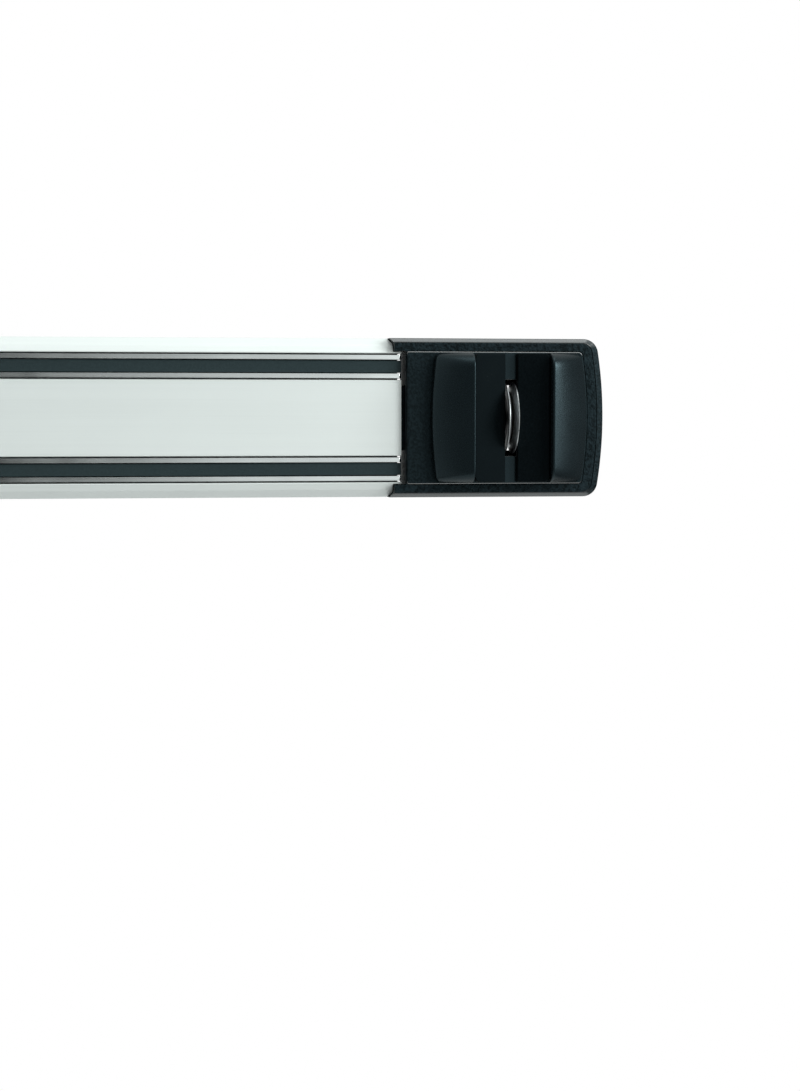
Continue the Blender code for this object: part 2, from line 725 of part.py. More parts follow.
def build_blade_guide(name, side, material):
    """A sloping insert on the channel's floor, with round outer corners."""
    inner = SLOT_HALF_WIDTH
    outer = CHANNEL_HALF_WIDTH - CHANNEL_DRAFT - FIT_GAP
    half = CAP_HALF_HEIGHT - FIT_GAP
    radius = GUIDE_CORNER_RADIUS
    outline = [(inner, -half), (inner, half)]
    outline += arc((outer - radius, half - radius), radius, 90, 0, 4)
    outline += arc((outer - radius, -half + radius), radius, 0, -90, 4)
    bm = bmesh.new()
    back = CHANNEL_FLOOR_DEPTH + FIT_GAP
    slope = (GUIDE_OUTER_DEPTH - GUIDE_SLOT_DEPTH) / (outer - inner)
    low_ring = []
    high_ring = []
    for across, z in outline:
        front = GUIDE_SLOT_DEPTH + slope * (across - inner)
        low_ring.append(bm.verts.new((CAP_X + side * across, -back, z)))
        high_ring.append(bm.verts.new((CAP_X + side * across, -front, z)))
    join_rings(bm, [low_ring, high_ring])
    return finish_object(name, bm, material, 30)


def build_wheel(name, side, material):
    """A thin disc whose inner face is bevelled near the rim, so that a pair makes a V."""
    inner = FIT_GAP / 2
    outer = inner + WHEEL_THICKNESS
    bore = AXLE_RADIUS + BORE_CLEARANCE
    profile = [
        (inner, bore),
        (inner, WHEEL_BEVEL_RADIUS),
        (outer - WHEEL_RIM_THICKNESS, WHEEL_RADIUS),
        (outer, WHEEL_RADIUS),
        (outer, bore),
    ]
    profile = [(side * along, radius) for along, radius in profile]
    wheel = turned(name, profile, (0, 0, 0), "X", material, segments=64)
    wheel.parent = bpy.data.objects["wheel_axis"]
    return wheel


def build_axle(material):
    half = AXLE_HALF_LENGTH
    profile = [(-half, 0), (-half, AXLE_RADIUS), (half, AXLE_RADIUS), (half, 0)]
    axle = turned("wheel_axle", profile, (0, 0, 0), "X", material, segments=32)
    axle.parent = bpy.data.objects["wheel_axis"]


def build_spacer(name, side, material):
    inner = FIT_GAP / 2 + WHEEL_THICKNESS + FIT_GAP
    outer = POST_INNER - FIT_GAP
    bore = AXLE_RADIUS + BORE_CLEARANCE
    profile = [(inner, bore), (inner, SPACER_RADIUS), (outer, SPACER_RADIUS), (outer, bore)]
    profile = [(side * along, radius) for along, radius in profile]
    spacer = turned(name, profile, (0, 0, 0), "X", material, segments=32)
    spacer.parent = bpy.data.objects["wheel_axis"]


def post_outline():
    """(z, depth) outline of an axle post, with a round saddle in its front end."""
    saddle = AXLE_RADIUS + FIT_GAP
    half = POST_HALF_HEIGHT
    top = WHEEL_AXIS_DEPTH
    root = BACK_PLATE_FRONT - JOIN_OVERLAP
    points = [(-half, root), (half, root), (half, top)]
    points += arc((0, top), saddle, 0, -180, 8)
    points.append((-half, top))
    return points


def build_back_plate(material):
    outline = hollow_outline(HOUSING_TIP_X, 1)
    middle_x = sum(x for x, _ in outline) / len(outline)
    shrunk = []
    for x, z in outline:
        shrunk.append((x - math.copysign(FIT_GAP, x - middle_x), z - math.copysign(FIT_GAP, z)))
    window_x = (CAP_X - BACK_WINDOW_HALF_WIDTH, CAP_X + BACK_WINDOW_HALF_WIDTH)
    window = rectangle(window_x, (-BACK_WINDOW_HALF_HEIGHT, BACK_WINDOW_HALF_HEIGHT))
    depths = (BACK_PLATE_RECESS, BACK_PLATE_FRONT)
    plate = front_prism("sharpener_back_plate", shrunk, *depths, material, [window])
    for place, side in (("left", -1), ("right", 1)):
        start = CAP_X + side * POST_INNER
        end = CAP_X + side * POST_OUTER
        add(plate, long_prism(f"axle_post_{place}", post_outline(), start, end))
    for index, (x, z) in enumerate(screw_places()):
        cut(plate, peg(f"back_plate_hole_{index}", x, z, 0, MOULDING_DEPTH, SCREW_HOLE_RADIUS))
    return plate


def build_pan_screw(name, x, z, material):
    head_back = BACK_PLATE_RECESS - FIT_GAP - SCREW_HEAD_HEIGHT
    head_front = BACK_PLATE_RECESS - FIT_GAP
    profile = [
        (head_back, 0),
        (head_back, SCREW_HEAD_FLAT_RADIUS),
        (head_front - SCREW_HEAD_EDGE_HEIGHT, SCREW_HEAD_RADIUS),
        (head_front, SCREW_HEAD_RADIUS),
        (head_front, SCREW_SHANK_RADIUS),
        (SCREW_TIP_DEPTH - SCREW_SHANK_RADIUS, SCREW_SHANK_RADIUS),
        (SCREW_TIP_DEPTH, 0),
    ]
    return turned(name, profile, (x, 0, z), "-Y", material, segments=24)


def build_sharpener(textured, smooth, matt, ground, zinc):
    wheel_axis = bpy.data.objects.new("wheel_axis", None)
    wheel_axis.location = (CAP_X, -WHEEL_AXIS_DEPTH, 0)
    bpy.context.scene.collection.objects.link(wheel_axis)
    build_housing(textured)
    build_sharpener_plate(textured)
    build_cap(smooth)
    build_back_plate(smooth)
    build_axle(zinc)
    for place, side in (("left", -1), ("right", 1)):
        build_blade_guide(f"{place}_blade_guide", side, matt)
        build_wheel(f"{place}_sharpening_wheel", side, ground)
        build_spacer(f"{place}_wheel_spacer", side, smooth)
    for index, (x, z) in enumerate(screw_places()):
        build_pan_screw(f"sharpener_screw_{index + 1}", x, z, zinc)
    x = tongue_screw_x(HOUSING_TIP_X, 1)
    build_countersunk_screw("housing_screw_upper", x, TONGUE_SCREW_HEIGHT, zinc)
    build_countersunk_screw("housing_screw_lower", x, -TONGUE_SCREW_HEIGHT, zinc)


def build_left_end(textured, zinc):
    build_moulding("left_end_cap", LEFT_CAP_TIP_X, -1, textured)
    build_face_plate("left_cap_plate", LEFT_CAP_TIP_X, -1, textured)
    x = tongue_screw_x(LEFT_CAP_TIP_X, -1)
    build_countersunk_screw("left_cap_screw_upper", x, TONGUE_SCREW_HEIGHT, zinc)
    build_countersunk_screw("left_cap_screw_lower", x, -TONGUE_SCREW_HEIGHT, zinc)


def main():
    for obj in list(bpy.data.objects):
        bpy.data.objects.remove(obj, do_unlink=True)
    build_bar(satin_aluminium())
    steel = rail_steel()
    plastic = filler_plastic()
    magnet_material = ferrite()
    build_rail_set("upper", 1, steel, plastic, magnet_material)
    build_rail_set("lower", -1, steel, plastic, magnet_material)
    textured = textured_black()
    zinc = zinc_steel()
    build_left_end(textured, zinc)
    build_sharpener(textured, smooth_black(), matt_black(), ground_steel(), zinc)


main()
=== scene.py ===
"""The finished look of a magnetic knife rack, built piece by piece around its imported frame.

Metres, +Z up. X runs along the bar, the wall is the plane Y = 0 and the rack faces -Y. A depth is
a distance in front of the wall, so a point at depth d has y = -d. Outlines are (x, z) pairs and
sections of the bar are (z, depth) pairs.
"""

from __future__ import annotations

import logging
import math
from collections.abc import Callable, Iterable, Sequence
from dataclasses import dataclass
from enum import Enum
from typing import Any

import bmesh
import bpy
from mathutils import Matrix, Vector


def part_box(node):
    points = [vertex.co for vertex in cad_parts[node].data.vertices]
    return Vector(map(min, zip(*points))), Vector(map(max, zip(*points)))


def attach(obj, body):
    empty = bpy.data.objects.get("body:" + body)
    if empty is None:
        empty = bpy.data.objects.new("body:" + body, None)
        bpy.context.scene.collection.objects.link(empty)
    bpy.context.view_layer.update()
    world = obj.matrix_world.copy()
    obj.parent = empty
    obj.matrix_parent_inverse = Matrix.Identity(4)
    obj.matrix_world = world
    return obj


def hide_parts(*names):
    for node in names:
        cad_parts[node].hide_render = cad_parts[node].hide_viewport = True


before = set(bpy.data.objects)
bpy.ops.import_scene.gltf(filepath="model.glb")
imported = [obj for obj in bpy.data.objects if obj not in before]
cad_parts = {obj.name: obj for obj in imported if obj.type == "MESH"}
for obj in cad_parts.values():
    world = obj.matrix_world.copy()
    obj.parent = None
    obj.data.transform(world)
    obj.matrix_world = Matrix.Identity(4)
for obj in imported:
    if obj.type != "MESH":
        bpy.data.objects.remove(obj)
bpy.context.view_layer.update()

LOG = logging.getLogger("knife_rack")
GAP = 0.0003
OVERRUN = 0.0010
ROOT = "rack"

Pair = tuple[float, float]
Triple = tuple[float, float, float]
Colour = tuple[float, float, float, float]
Outline = list[Pair]
Solid = bmesh.types.BMesh
Socket = bpy.types.NodeSocket
Node = bpy.types.Node
Tree = bpy.types.NodeTree

MITRE_RUN = 0.0016
MITRE_RISE = 0.0019
PRONG_HEIGHT = 0.0252
BAR_SETBACK = 0.0045
TONGUE_SCREW_HEIGHT = 0.0070
SCREW_HOLE = 0.0018


class Side(Enum):
    """Which way along the bar a piece lies or faces."""

    LEFT = -1
    RIGHT = 1


class Level(Enum):
    """The upper or the lower half of the rack."""

    UPPER = 1
    LOWER = -1


# ---- Outlines -----------------------------------------------------------------------------


def arc(centre: Pair, radius: float, start: float, end: float, steps: int) -> Outline:
    """Samples an arc.

    Args:
        centre: The arc's centre.
        radius: Its radius.
        start: The angle of its first point, in degrees.
        end: The angle of its last point, in degrees.
        steps: How many straight runs stand for it.

    Returns:
        Its points, in order.
    """
    turns = [math.radians(start + (end - start) * step / steps) for step in range(steps + 1)]
    return [(centre[0] + radius * math.cos(t), centre[1] + radius * math.sin(t)) for t in turns]


def rounded(corners: Sequence[Triple], steps: int = 4) -> Outline:
    """Rounds the corners of a closed outline.

    Args:
        corners: Each corner as (first, second, radius).
        steps: How many runs each rounding has.

    Returns:
        The outline with an arc in place of each corner that has a radius.
    """
    points: Outline = []
    for index, (first, second, radius) in enumerate(corners):
        here = Vector((first, second))
        if radius <= 0:
            points.append((first, second))
            continue
        back = (Vector(corners[index - 1][:2]) - here).normalized()
        ahead = (Vector(corners[(index + 1) % len(corners)][:2]) - here).normalized()
        half = math.acos(max(-1.0, min(1.0, back.dot(ahead)))) / 2
        middle = here + (back + ahead).normalized() * radius / math.sin(half)
        start = here + back * radius / math.tan(half) - middle
        end = here + ahead * radius / math.tan(half) - middle
        swing = start.angle_signed(end)
        for step in range(steps + 1):
            turn = -swing * step / steps
            across = start.x * math.cos(turn) - start.y * math.sin(turn)
            up = start.x * math.sin(turn) + start.y * math.cos(turn)
            points.append((middle.x + across, middle.y + up))
    return points


def rectangle(x_range: Pair, z_range: Pair) -> Outline:
    """Returns the four corners of a rectangle."""
    (left, right), (low, high) = x_range, z_range
    return [(left, low), (right, low), (right, high), (left, high)]


def centred(half_x: float, half_z: float) -> Outline:
    """Returns the four corners of a rectangle about the origin."""
    return rectangle((-half_x, half_x), (-half_z, half_z))


def quarter_round(radius: float, front: float, turns: Sequence[float]) -> Outline:
    """Rounds the front edge of a piece.

    Args:
        radius: Radius of the rounding.
        front: Depth of the front face.
        turns: Where each point lies on the quarter turn, in degrees.

    Returns:
        Each point as (distance drawn in, depth).
    """
    angles = [math.radians(turn) for turn in turns]
    return [(radius * (1 - math.cos(a)), front - radius * (1 - math.sin(a))) for a in angles]


def bulging_end(end_x: float, half: float, bulge: float, corner: float) -> Outline:
    """Draws the rounded end of a moulding, from its top corner to its bottom one.

    Args:
        end_x: How far the bulge reaches.
        half: Half the moulding's height.
        bulge: Radius of the shallow end arc.
        corner: Radius of its corners.

    Returns:
        The points of one corner, the bulge and the other corner.
    """
    inner = bulge - corner
    rise = half - corner
    swing = math.degrees(math.asin(rise / inner))
    middle = end_x - bulge
    corner_x = middle + inner * math.cos(math.radians(swing))
    points = arc((corner_x, rise), corner, 90, swing, 10)
    points += arc((middle, 0.0), bulge, swing, -swing, 20)[1:-1]
    return points + arc((corner_x, -rise), corner, -swing, -90, 10)


# ---- Meshes -------------------------------------------------------------------------------


def fill_and_extrude(loops: Iterable[Sequence[Vector]], travel: Vector) -> Solid:
    """Fills an outline with its holes and extrudes it.

    Args:
        loops: The outline's points, then those of each hole.
        travel: How far and which way the filled face is drawn out.

    Returns:
        The closed solid.
    """
    made = bmesh.new()
    edges = []
    for loop in loops:
        verts = [made.verts.new(point) for point in loop]
        edges += [made.edges.new(pair) for pair in zip(verts, verts[1:] + verts[:1])]
    filled = bmesh.ops.triangle_fill(made, use_beauty=True, edges=edges)
    faces = [item for item in filled["geom"] if isinstance(item, bmesh.types.BMFace)]
    grown = bmesh.ops.extrude_face_region(made, geom=faces)
    moved = [item for item in grown["geom"] if isinstance(item, bmesh.types.BMVert)]
    bmesh.ops.translate(made, verts=moved, vec=travel)
    return made


def front_prism(outline: Outline, back: float, front: float) -> Solid:
    """Makes a plate with a front outline.

    Args:
        outline: The plate's (x, z) outline.
        back: Depth of its back face.
        front: Depth of its front face.

    Returns:
        The closed solid.
    """
    return fill_and_extrude([[Vector((x, -back, z)) for x, z in outline]], Vector((0, back - front, 0)))


def long_prism(loops: Iterable[Outline], start: float, end: float) -> Solid:
    """Makes a length of profile.

    Args:
        loops: The (z, depth) section, then the hollows in it.
        start: Where along the bar it starts.
        end: Where it ends.

    Returns:
        The closed solid.
    """
    placed = [[Vector((start, -depth, z)) for z, depth in loop] for loop in loops]
    return fill_and_extrude(placed, Vector((end - start, 0, 0)))


def box_mesh(low: Sequence[float], high: Sequence[float]) -> Solid:
    """Makes a box between two (x, depth, z) corners."""
    return front_prism(rectangle((low[0], high[0]), (low[2], high[2])), low[1], high[1])


def loft(rings: Sequence[Sequence[Vector]]) -> Solid:
    """Joins rings with equal numbers of points, and closes the first and the last.

    Args:
        rings: The rings, in order along the piece.

    Returns:
        The closed solid.
    """
    made = bmesh.new()
    placed = [[made.verts.new(point) for point in ring] for ring in rings]
    count = len(placed[0])
    for first, second in zip(placed, placed[1:]):
        for step in range(count):
            after = (step + 1) % count
            made.faces.new([first[step], first[after], second[after], second[step]])
    for ring in (placed[0], placed[-1]):
        edges = [made.edges.get(pair) for pair in zip(ring, ring[1:] + ring[:1])]
        bmesh.ops.triangle_fill(made, use_beauty=True, edges=edges)
    return made


def stacked(outline_at: Callable[[float], Outline], steps: Iterable[Pair]) -> Solid:
    """Lofts one outline through successive depths.

    Args:
        outline_at: Draws the outline for a size.
        steps: Each ring's (size, depth).

    Returns:
        The closed solid.
    """
    return loft([[Vector((x, -depth, z)) for x, z in outline_at(size)] for size, depth in steps])


def turned(profile: Sequence[Pair], centre: Vector, along_x: bool, segments: int = 48) -> Solid:
    """Turns a closed profile about an axis.

    Args:
        profile: (along, radius) points; a radius of 0 makes a pole.
        centre: A point on the axis, from which along is counted.
        along_x: Whether the axis runs along X, or else out from the wall.
        segments: How many steps a turn has.

    Returns:
        The closed solid.
    """
    made = bmesh.new()
    rings = []
    for along, radius in profile:
        spots = [(0.0, 0.0)]
        if radius > 0:
            spots = arc((0.0, 0.0), radius, 0, 360, segments)[:-1]
        ring = []
        for across, up in spots:
            offset = (along, across, up) if along_x else (across, -along, up)
            ring.append(made.verts.new(centre + Vector(offset)))
        rings.append(ring)
    for first, second in zip(rings, rings[1:] + rings[:1]):
        if len(first) == 1 and len(second) == 1:
            continue
        for step in range(segments):
            after = (step + 1) % segments
            corners = [first[step % len(first)], second[step % len(second)]]
            corners += [second[after % len(second)], first[after % len(first)]]
            made.faces.new(list(dict.fromkeys(corners)))
    return made


def peg(x: float, z: float, back: float, front: float, radius: float) -> Solid:
    """Makes a plain cylinder that stands out from the wall."""
    profile = [(0, 0), (0, radius), (front - back, radius), (front - back, 0)]
    return turned(profile, Vector((x, -back, z)), False, 32)


def plain_object(name: str, made: Solid) -> bpy.types.Object:
    """Turns a bmesh into a linked object whose faces point outwards."""
    bmesh.ops.recalc_face_normals(made, faces=made.faces)
    mesh = bpy.data.meshes.new(name)
    made.to_mesh(mesh)
    made.free()
    obj = bpy.data.objects.new(name, mesh)
    bpy.context.scene.collection.objects.link(obj)
    return obj


def evaluated_copy(obj: bpy.types.Object) -> bpy.types.Mesh:
    """Returns an object's mesh with its modifiers applied."""
    graph = bpy.context.evaluated_depsgraph_get()
    return bpy.data.meshes.new_from_object(obj.evaluated_get(graph), depsgraph=graph)


class Workpiece:
    """One piece on its way from its first mesh to its finished one."""

    def __init__(self, name: str, made: Solid) -> None:
        """Starts from a closed solid.

        Args:
            name: The finished piece's name.
            made: The solid.
        """
        self.name = name
        self.draft = plain_object(f"{name}_draft", made)
        self.tools: list[bpy.types.Object] = []

    @classmethod
    def from_node(cls, name: str, node: str) -> Workpiece:
        """Starts from a merged copy of a frame node."""
        made = bmesh.new()
        made.from_mesh(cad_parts[node].data)
        bmesh.ops.remove_doubles(made, verts=made.verts, dist=1e-6)
        bmesh.ops.dissolve_limit(
            made, angle_limit=math.radians(0.5), verts=made.verts, edges=made.edges
        )
        return cls(name, made)

    def _combine(self, made: Solid, operation: str) -> Workpiece:
        """Adds one Boolean with a solid."""
        tool = plain_object(f"{self.name}_tool", made)
        tool.hide_render = True
        self.tools.append(tool)
        step = self.draft.modifiers.new(operation, "BOOLEAN")
        step.operation = operation
        step.solver = "EXACT"
        step.object = tool
        return self

    def cut(self, made: Solid) -> Workpiece:
        """Cuts a solid away."""
        return self._combine(made, "DIFFERENCE")

    def join(self, made: Solid) -> Workpiece:
        """Joins a solid on."""
        return self._combine(made, "UNION")

    def bevel(self, width: float, steps: int = 2, degrees: float = 40.0) -> Workpiece:
        """Rounds every edge that is sharper than an angle.

        Args:
            width: Width of the rounding.
            steps: Its segments.
            degrees: The angle.

        Returns:
            The same workpiece.
        """
        step = self.draft.modifiers.new("round_edges", "BEVEL")
        step.width = width
        step.segments = steps
        step.limit_method = "ANGLE"
        step.angle_limit = math.radians(degrees)
        return self

    def finish(
        self, material: bpy.types.Material, smooth: float = 32.0, flat_leads: bool = True
    ) -> bpy.types.Object:
        """Applies every step and gives the piece its material.

        Args:
            material: The finish.
            smooth: Faces that meet at less than this many degrees are shaded as one surface.
            flat_leads: Whether large flat faces keep their shading up to their rounded edges.

        Returns:
            The finished object, at the origin, with no modifiers.
        """
        rough = evaluated_copy(self.draft)
        rough.shade_smooth()
        rough.set_sharp_from_angle(angle=math.radians(smooth))
        shaded = bpy.data.objects.new(f"{self.name}_shaded", rough)
        bpy.context.scene.collection.objects.link(shaded)
        if flat_leads:
            weigh = shaded.modifiers.new("flat_faces_lead", "WEIGHTED_NORMAL")
            weigh.keep_sharp = True
        mesh = evaluated_copy(shaded)
        mesh.name = self.name
        mesh.materials.clear()
        mesh.materials.append(material)
        piece = bpy.data.objects.new(self.name, mesh)
        bpy.context.scene.collection.objects.link(piece)
        for spare in (shaded, self.draft, *self.tools):
            bpy.data.objects.remove(spare, do_unlink=True)
        return piece


def hand_over(piece: bpy.types.Object, body: str, slot: str, *nodes: str) -> None:
    """Parents a finished piece to the body that it rides on and hides the frame nodes that it stands for.

    Args:
        piece: The finished piece.
        body: The body that it moves with.
        slot: Not used.
        nodes: The frame nodes that it replaces.
    """
    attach(piece, body)
    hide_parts(*nodes)
    LOG.info("%s: %d faces, for %s", piece.name, len(piece.data.polygons), ", ".join(nodes))


# ---- Node trees ---------------------------------------------------------------------------


class NodeBench:
    """Adds nodes to one tree, with their settings and links."""

    def __init__(self, tree: Tree) -> None:
        """Keeps the tree that nodes are added to."""
        self.tree = tree

    def add(self, kind: str, feed: dict[Any, Any] | None = None, **settings: Any) -> Node:
        """Adds a node.

        Args:
            kind: The node's type.
            feed: What goes into each input, by name or index: a socket or a plain value.
            settings: The node's own settings.

        Returns:
            The new node.
        """
        node = self.tree.nodes.new(kind)
        for key, value in settings.items():
            setattr(node, key, value)
        for key, value in (feed or {}).items():
            if isinstance(value, Socket):
                self.tree.links.new(value, node.inputs[key])
            else:
                node.inputs[key].default_value = value
        return node

    def link(self, node: Node, feed: dict[str, Socket]) -> None:
        """Links sockets to a node's inputs, by name."""
        for label, socket in feed.items():
            self.tree.links.new(socket, node.inputs[label])

    def math(self, operation: str, *values: Any) -> Socket:
        """Adds a Math node and returns what it works out."""
        return self.add("ShaderNodeMath", dict(enumerate(values)), operation=operation).outputs[0]

    def times(self, first: Any, second: Any) -> Socket:
        """Multiplies two values."""
        return self.math("MULTIPLY", first, second)

    def plus(self, first: Any, second: Any) -> Socket:
        """Adds two values."""
        return self.math("ADD", first, second)

    def without(self, value: Any) -> Socket:
        """Returns 1 less a value."""
        return self.math("SUBTRACT", 1.0, value)

    def parts(self, vector: Any) -> Any:
        """Returns a vector's x, y and z."""
        return self.add("ShaderNodeSeparateXYZ", {0: vector}).outputs

    def spread(self, value: Any, low: float, high: float, to_low: float = 0.0, to_high: float = 1.0) -> Any:
        """Maps a range of a value smoothly onto another range, clamped."""
        feed = {0: value, 1: low, 2: high, 3: to_low, 4: to_high}
        node = self.add("ShaderNodeMapRange", feed, interpolation_type="SMOOTHSTEP", clamp=True)
        return node.outputs[0]

    def blend(self, share: Any, first: Any, second: Any) -> Socket:
        """Mixes two colours."""
        feed = {"Factor": share, 6: first, 7: second}
        return self.add("ShaderNodeMix", feed, data_type="RGBA").outputs[2]

    def noise(
        self, vector: Any, scale: Any, detail: float = 2.0, rough: float = 0.5, twist: float = 0.0
    ) -> Socket:
        """Adds a noise and returns its value."""
        feed = {"Vector": vector, "Scale": scale, "Detail": detail, "Roughness": rough, "Distortion": twist}
        return self.add("ShaderNodeTexNoise", feed).outputs[0]


def new_group(
    name: str, kind: str, inputs: dict[str, tuple[str, Any]], outputs: dict[str, str]
) -> tuple[NodeBench, Node, Node]:
    """Makes an empty node group with named sockets.

    Args:
        name: The group's name.
        kind: ShaderNodeTree or GeometryNodeTree.
        inputs: Each input's socket type and default, by name.
        outputs: Each output's socket type, by name.

    Returns:
        A bench for the group, its input node and its output node.
    """
    tree = bpy.data.node_groups.new(name, kind)
    for label, (socket, default) in inputs.items():
        made = tree.interface.new_socket(label, in_out="INPUT", socket_type=socket)
        if default is not None:
            made.default_value = default
    for label, socket in outputs.items():
        tree.interface.new_socket(label, in_out="OUTPUT", socket_type=socket)
    bench = NodeBench(tree)
    return bench, bench.add("NodeGroupInput"), bench.add("NodeGroupOutput")


FLOAT = "NodeSocketFloat"
VECTOR = "NodeSocketVector"
GEOMETRY = "NodeSocketGeometry"


def moulded_grain_group() -> None:
    """Builds the pebbled grain of textured plastic, and a mask of the pebble tops where a painted highlight
    goes.
    """
    inputs = {"Vector": (VECTOR, None), "Cell Scale": (FLOAT, 2600.0), "Coarseness": (FLOAT, 0.0)}
    outputs = {"Height": FLOAT, "Glint": FLOAT, "Tone": FLOAT}
    bench, given, result = new_group("Moulded Grain", "ShaderNodeTree", inputs, outputs)
    place, scale, coarseness = (given.outputs[label] for label in inputs)
    cells = {"Vector": place, "Scale": scale}
    pebbles = bench.add("ShaderNodeTexVoronoi", cells, feature="SMOOTH_F1").outputs["Distance"]
    fine = bench.noise(place, bench.times(scale, 2.3), 3.0)
    tone = bench.noise(place, bench.times(scale, 0.6), 3.0)
    dome = bench.without(pebbles)
    height = bench.plus(bench.plus(dome, bench.times(fine, 0.5)), bench.times(tone, coarseness))
    # Pebble tops picked out for painted glints: a painted highlight in the colour, not a real reflection.
    painted_glint = bench.times(bench.spread(dome, 0.7, 0.9), bench.spread(fine, 0.55, 0.7))
    bench.link(result, {"Height": height, "Glint": painted_glint, "Tone": tone})


def draw_lines_group() -> None:
    """Builds the fine lines that run along drawn, ground or brushed metal."""
    inputs = {"Vector": (VECTOR, None), "Line Scale": (FLOAT, 2500.0), "Length Scale": (FLOAT, 14.0)}
    outputs = {"Height": FLOAT, "Tone": FLOAT, "Scratch": FLOAT}
    bench, given, result = new_group("Draw Lines", "ShaderNodeTree", inputs, outputs)
    across, deep, high = bench.parts(given.outputs["Vector"])
    line_scale = given.outputs["Line Scale"]
    stretched = {0: bench.times(across, given.outputs["Length Scale"])}
    stretched |= {1: bench.times(deep, line_scale), 2: bench.times(high, line_scale)}
    drawn = bench.add("ShaderNodeCombineXYZ", stretched).outputs[0]
    lines = bench.noise(drawn, 1.0, 4.0, 0.65)
    wide = bench.noise(drawn, 0.16, 2.0, 0.5)
    scratch = bench.spread(bench.noise(drawn, 0.55, 1.0, 0.4), 0.66, 0.74)
    height = bench.plus(lines, bench.times(scratch, -0.8))
    tone = bench.plus(bench.times(lines, 0.6), bench.times(wide, 0.4))
    bench.link(result, {"Height": height, "Tone": tone, "Scratch": scratch})


def handling_group() -> None:
    """Builds the faint smudges and dust of a thing that is used."""
    inputs = {"Vector": (VECTOR, None), "Smudge Scale": (FLOAT, 22.0), "Dust Scale": (FLOAT, 900.0)}
    outputs = {"Smudge": FLOAT, "Dust": FLOAT}
    bench, given, result = new_group("Handling", "ShaderNodeTree", inputs, outputs)
    place = given.outputs["Vector"]
    soft = bench.noise(place, given.outputs["Smudge Scale"], 3.0, twist=0.6)
    cells = {"Vector": place, "Scale": given.outputs["Dust Scale"]}
    specks = bench.add("ShaderNodeTexVoronoi", cells).outputs["Distance"]
    dust = bench.times(bench.spread(specks, 0.04, 0.12, 1.0, 0.0), bench.spread(soft, 0.52, 0.7))
    bench.link(result, {"Smudge": bench.spread(soft, 0.35, 0.7), "Dust": dust})


# ---- Finishes -----------------------------------------------------------------------------


class Effect(Enum):
    """The shared surface effects, by the name of their node group."""

    GRAIN = "Moulded Grain"
    LINES = "Draw Lines"
    HANDLING = "Handling"


def build_effects() -> None:
    """Builds each shared effect once."""
    moulded_grain_group()
    draw_lines_group()
    handling_group()


def tint(colour: Sequence[float], factor: float) -> Colour:
    """Returns a colour made lighter or darker, with full alpha."""
    return (colour[0] * factor, colour[1] * factor, colour[2] * factor, 1.0)


@dataclass(frozen=True)
class Finish:
    """What every finish has: a name, a colour and a gloss."""

    name: str
    colour: Triple
    roughness: float = 0.5
    metallic: float = 0.0
    specular: float = 0.5

    def material(self) -> bpy.types.Material:
        """Returns the finish's material, made the first time it is asked for."""
        known = bpy.data.materials.get(self.name)
        if known is not None:
            return known
        material = bpy.data.materials.new(self.name)
        material.use_nodes = True
        shader = material.node_tree.nodes["Principled BSDF"]
        shader.inputs["Base Color"].default_value = (*self.colour, 1.0)
        shader.inputs["Roughness"].default_value = self.roughness
        shader.inputs["Metallic"].default_value = self.metallic
        shader.inputs["Specular IOR Level"].default_value = self.specular
        bench = NodeBench(material.node_tree)
        place = bench.add("ShaderNodeTexCoord").outputs["Object"]
        self.dress(bench, shader, place)
        return material

    def effect(self, bench: NodeBench, kind: Effect, place: Any, **feed: float) -> Node:
        """Places a shared effect in the material.

        Args:
            bench: The material's nodes.
            kind: Which effect.
            place: The coordinates that it reads.
            feed: Its other inputs, with an underscore for each space.

        Returns:
            The group node.
        """
        node = bench.add("ShaderNodeGroup", node_tree=bpy.data.node_groups[kind.value])
        bench.link(node, {"Vector": place})
        for label, value in feed.items():
            node.inputs[label.replace("_", " ")].default_value = value
        return node

    def bump(self, bench: NodeBench, shader: Node, height: Any, depth: float, share: float) -> None:
        """Feeds a height to the shader's normal.

        Args:
            bench: The material's nodes.
            shader: The Principled BSDF.
            height: The height's socket.
            depth: How deep a height of 1 is, in metres.
            share: How strongly the bump counts.
        """
        feed = {"Height": height, "Distance": depth, "Strength": share}
        bench.link(shader, {"Normal": bench.add("ShaderNodeBump", feed).outputs[0]})

    def dress(self, bench: NodeBench, shader: Node, place: Any) -> None:
        """Adds the finish's own detail."""
        raise NotImplementedError


@dataclass(frozen=True)
class DrawnMetal(Finish):
    """Metal with lines along the bar, such as a satin extrusion or a ground steel strip."""

    line_scale: float = 2500.0
    length_scale: float = 14.0
    line_depth: float = 0.00001
    contrast: float = 0.06
    smudge: float = 0.04

    def dress(self, bench: NodeBench, shader: Node, place: Any) -> None:
        """Adds draw lines, a few scratches and faint smudges."""
        lines = self.effect(
            bench, Effect.LINES, place, Line_Scale=self.line_scale, Length_Scale=self.length_scale
        )
        marks = self.effect(bench, Effect.HANDLING, place, Smudge_Scale=26.0, Dust_Scale=420.0)
        tone = lines.outputs["Tone"]
        dark = tint(self.colour, 1 - self.contrast)
        light = tint(self.colour, 1 + self.contrast)
        base = bench.blend(bench.spread(tone, 0.3, 0.7), dark, light)
        worn = bench.times(marks.outputs["Smudge"], self.smudge)
        base = bench.blend(worn, base, tint(self.colour, 0.55))
        scratched = bench.times(lines.outputs["Scratch"], self.contrast * 2)
        base = bench.blend(scratched, base, tint(self.colour, 0.45))
        gloss = bench.spread(tone, 0.25, 0.75, self.roughness * 0.8, self.roughness * 1.2)
        bench.link(shader, {"Base Color": base, "Roughness": bench.plus(gloss, worn)})
        self.bump(bench, shader, lines.outputs["Height"], self.line_depth, 0.5)


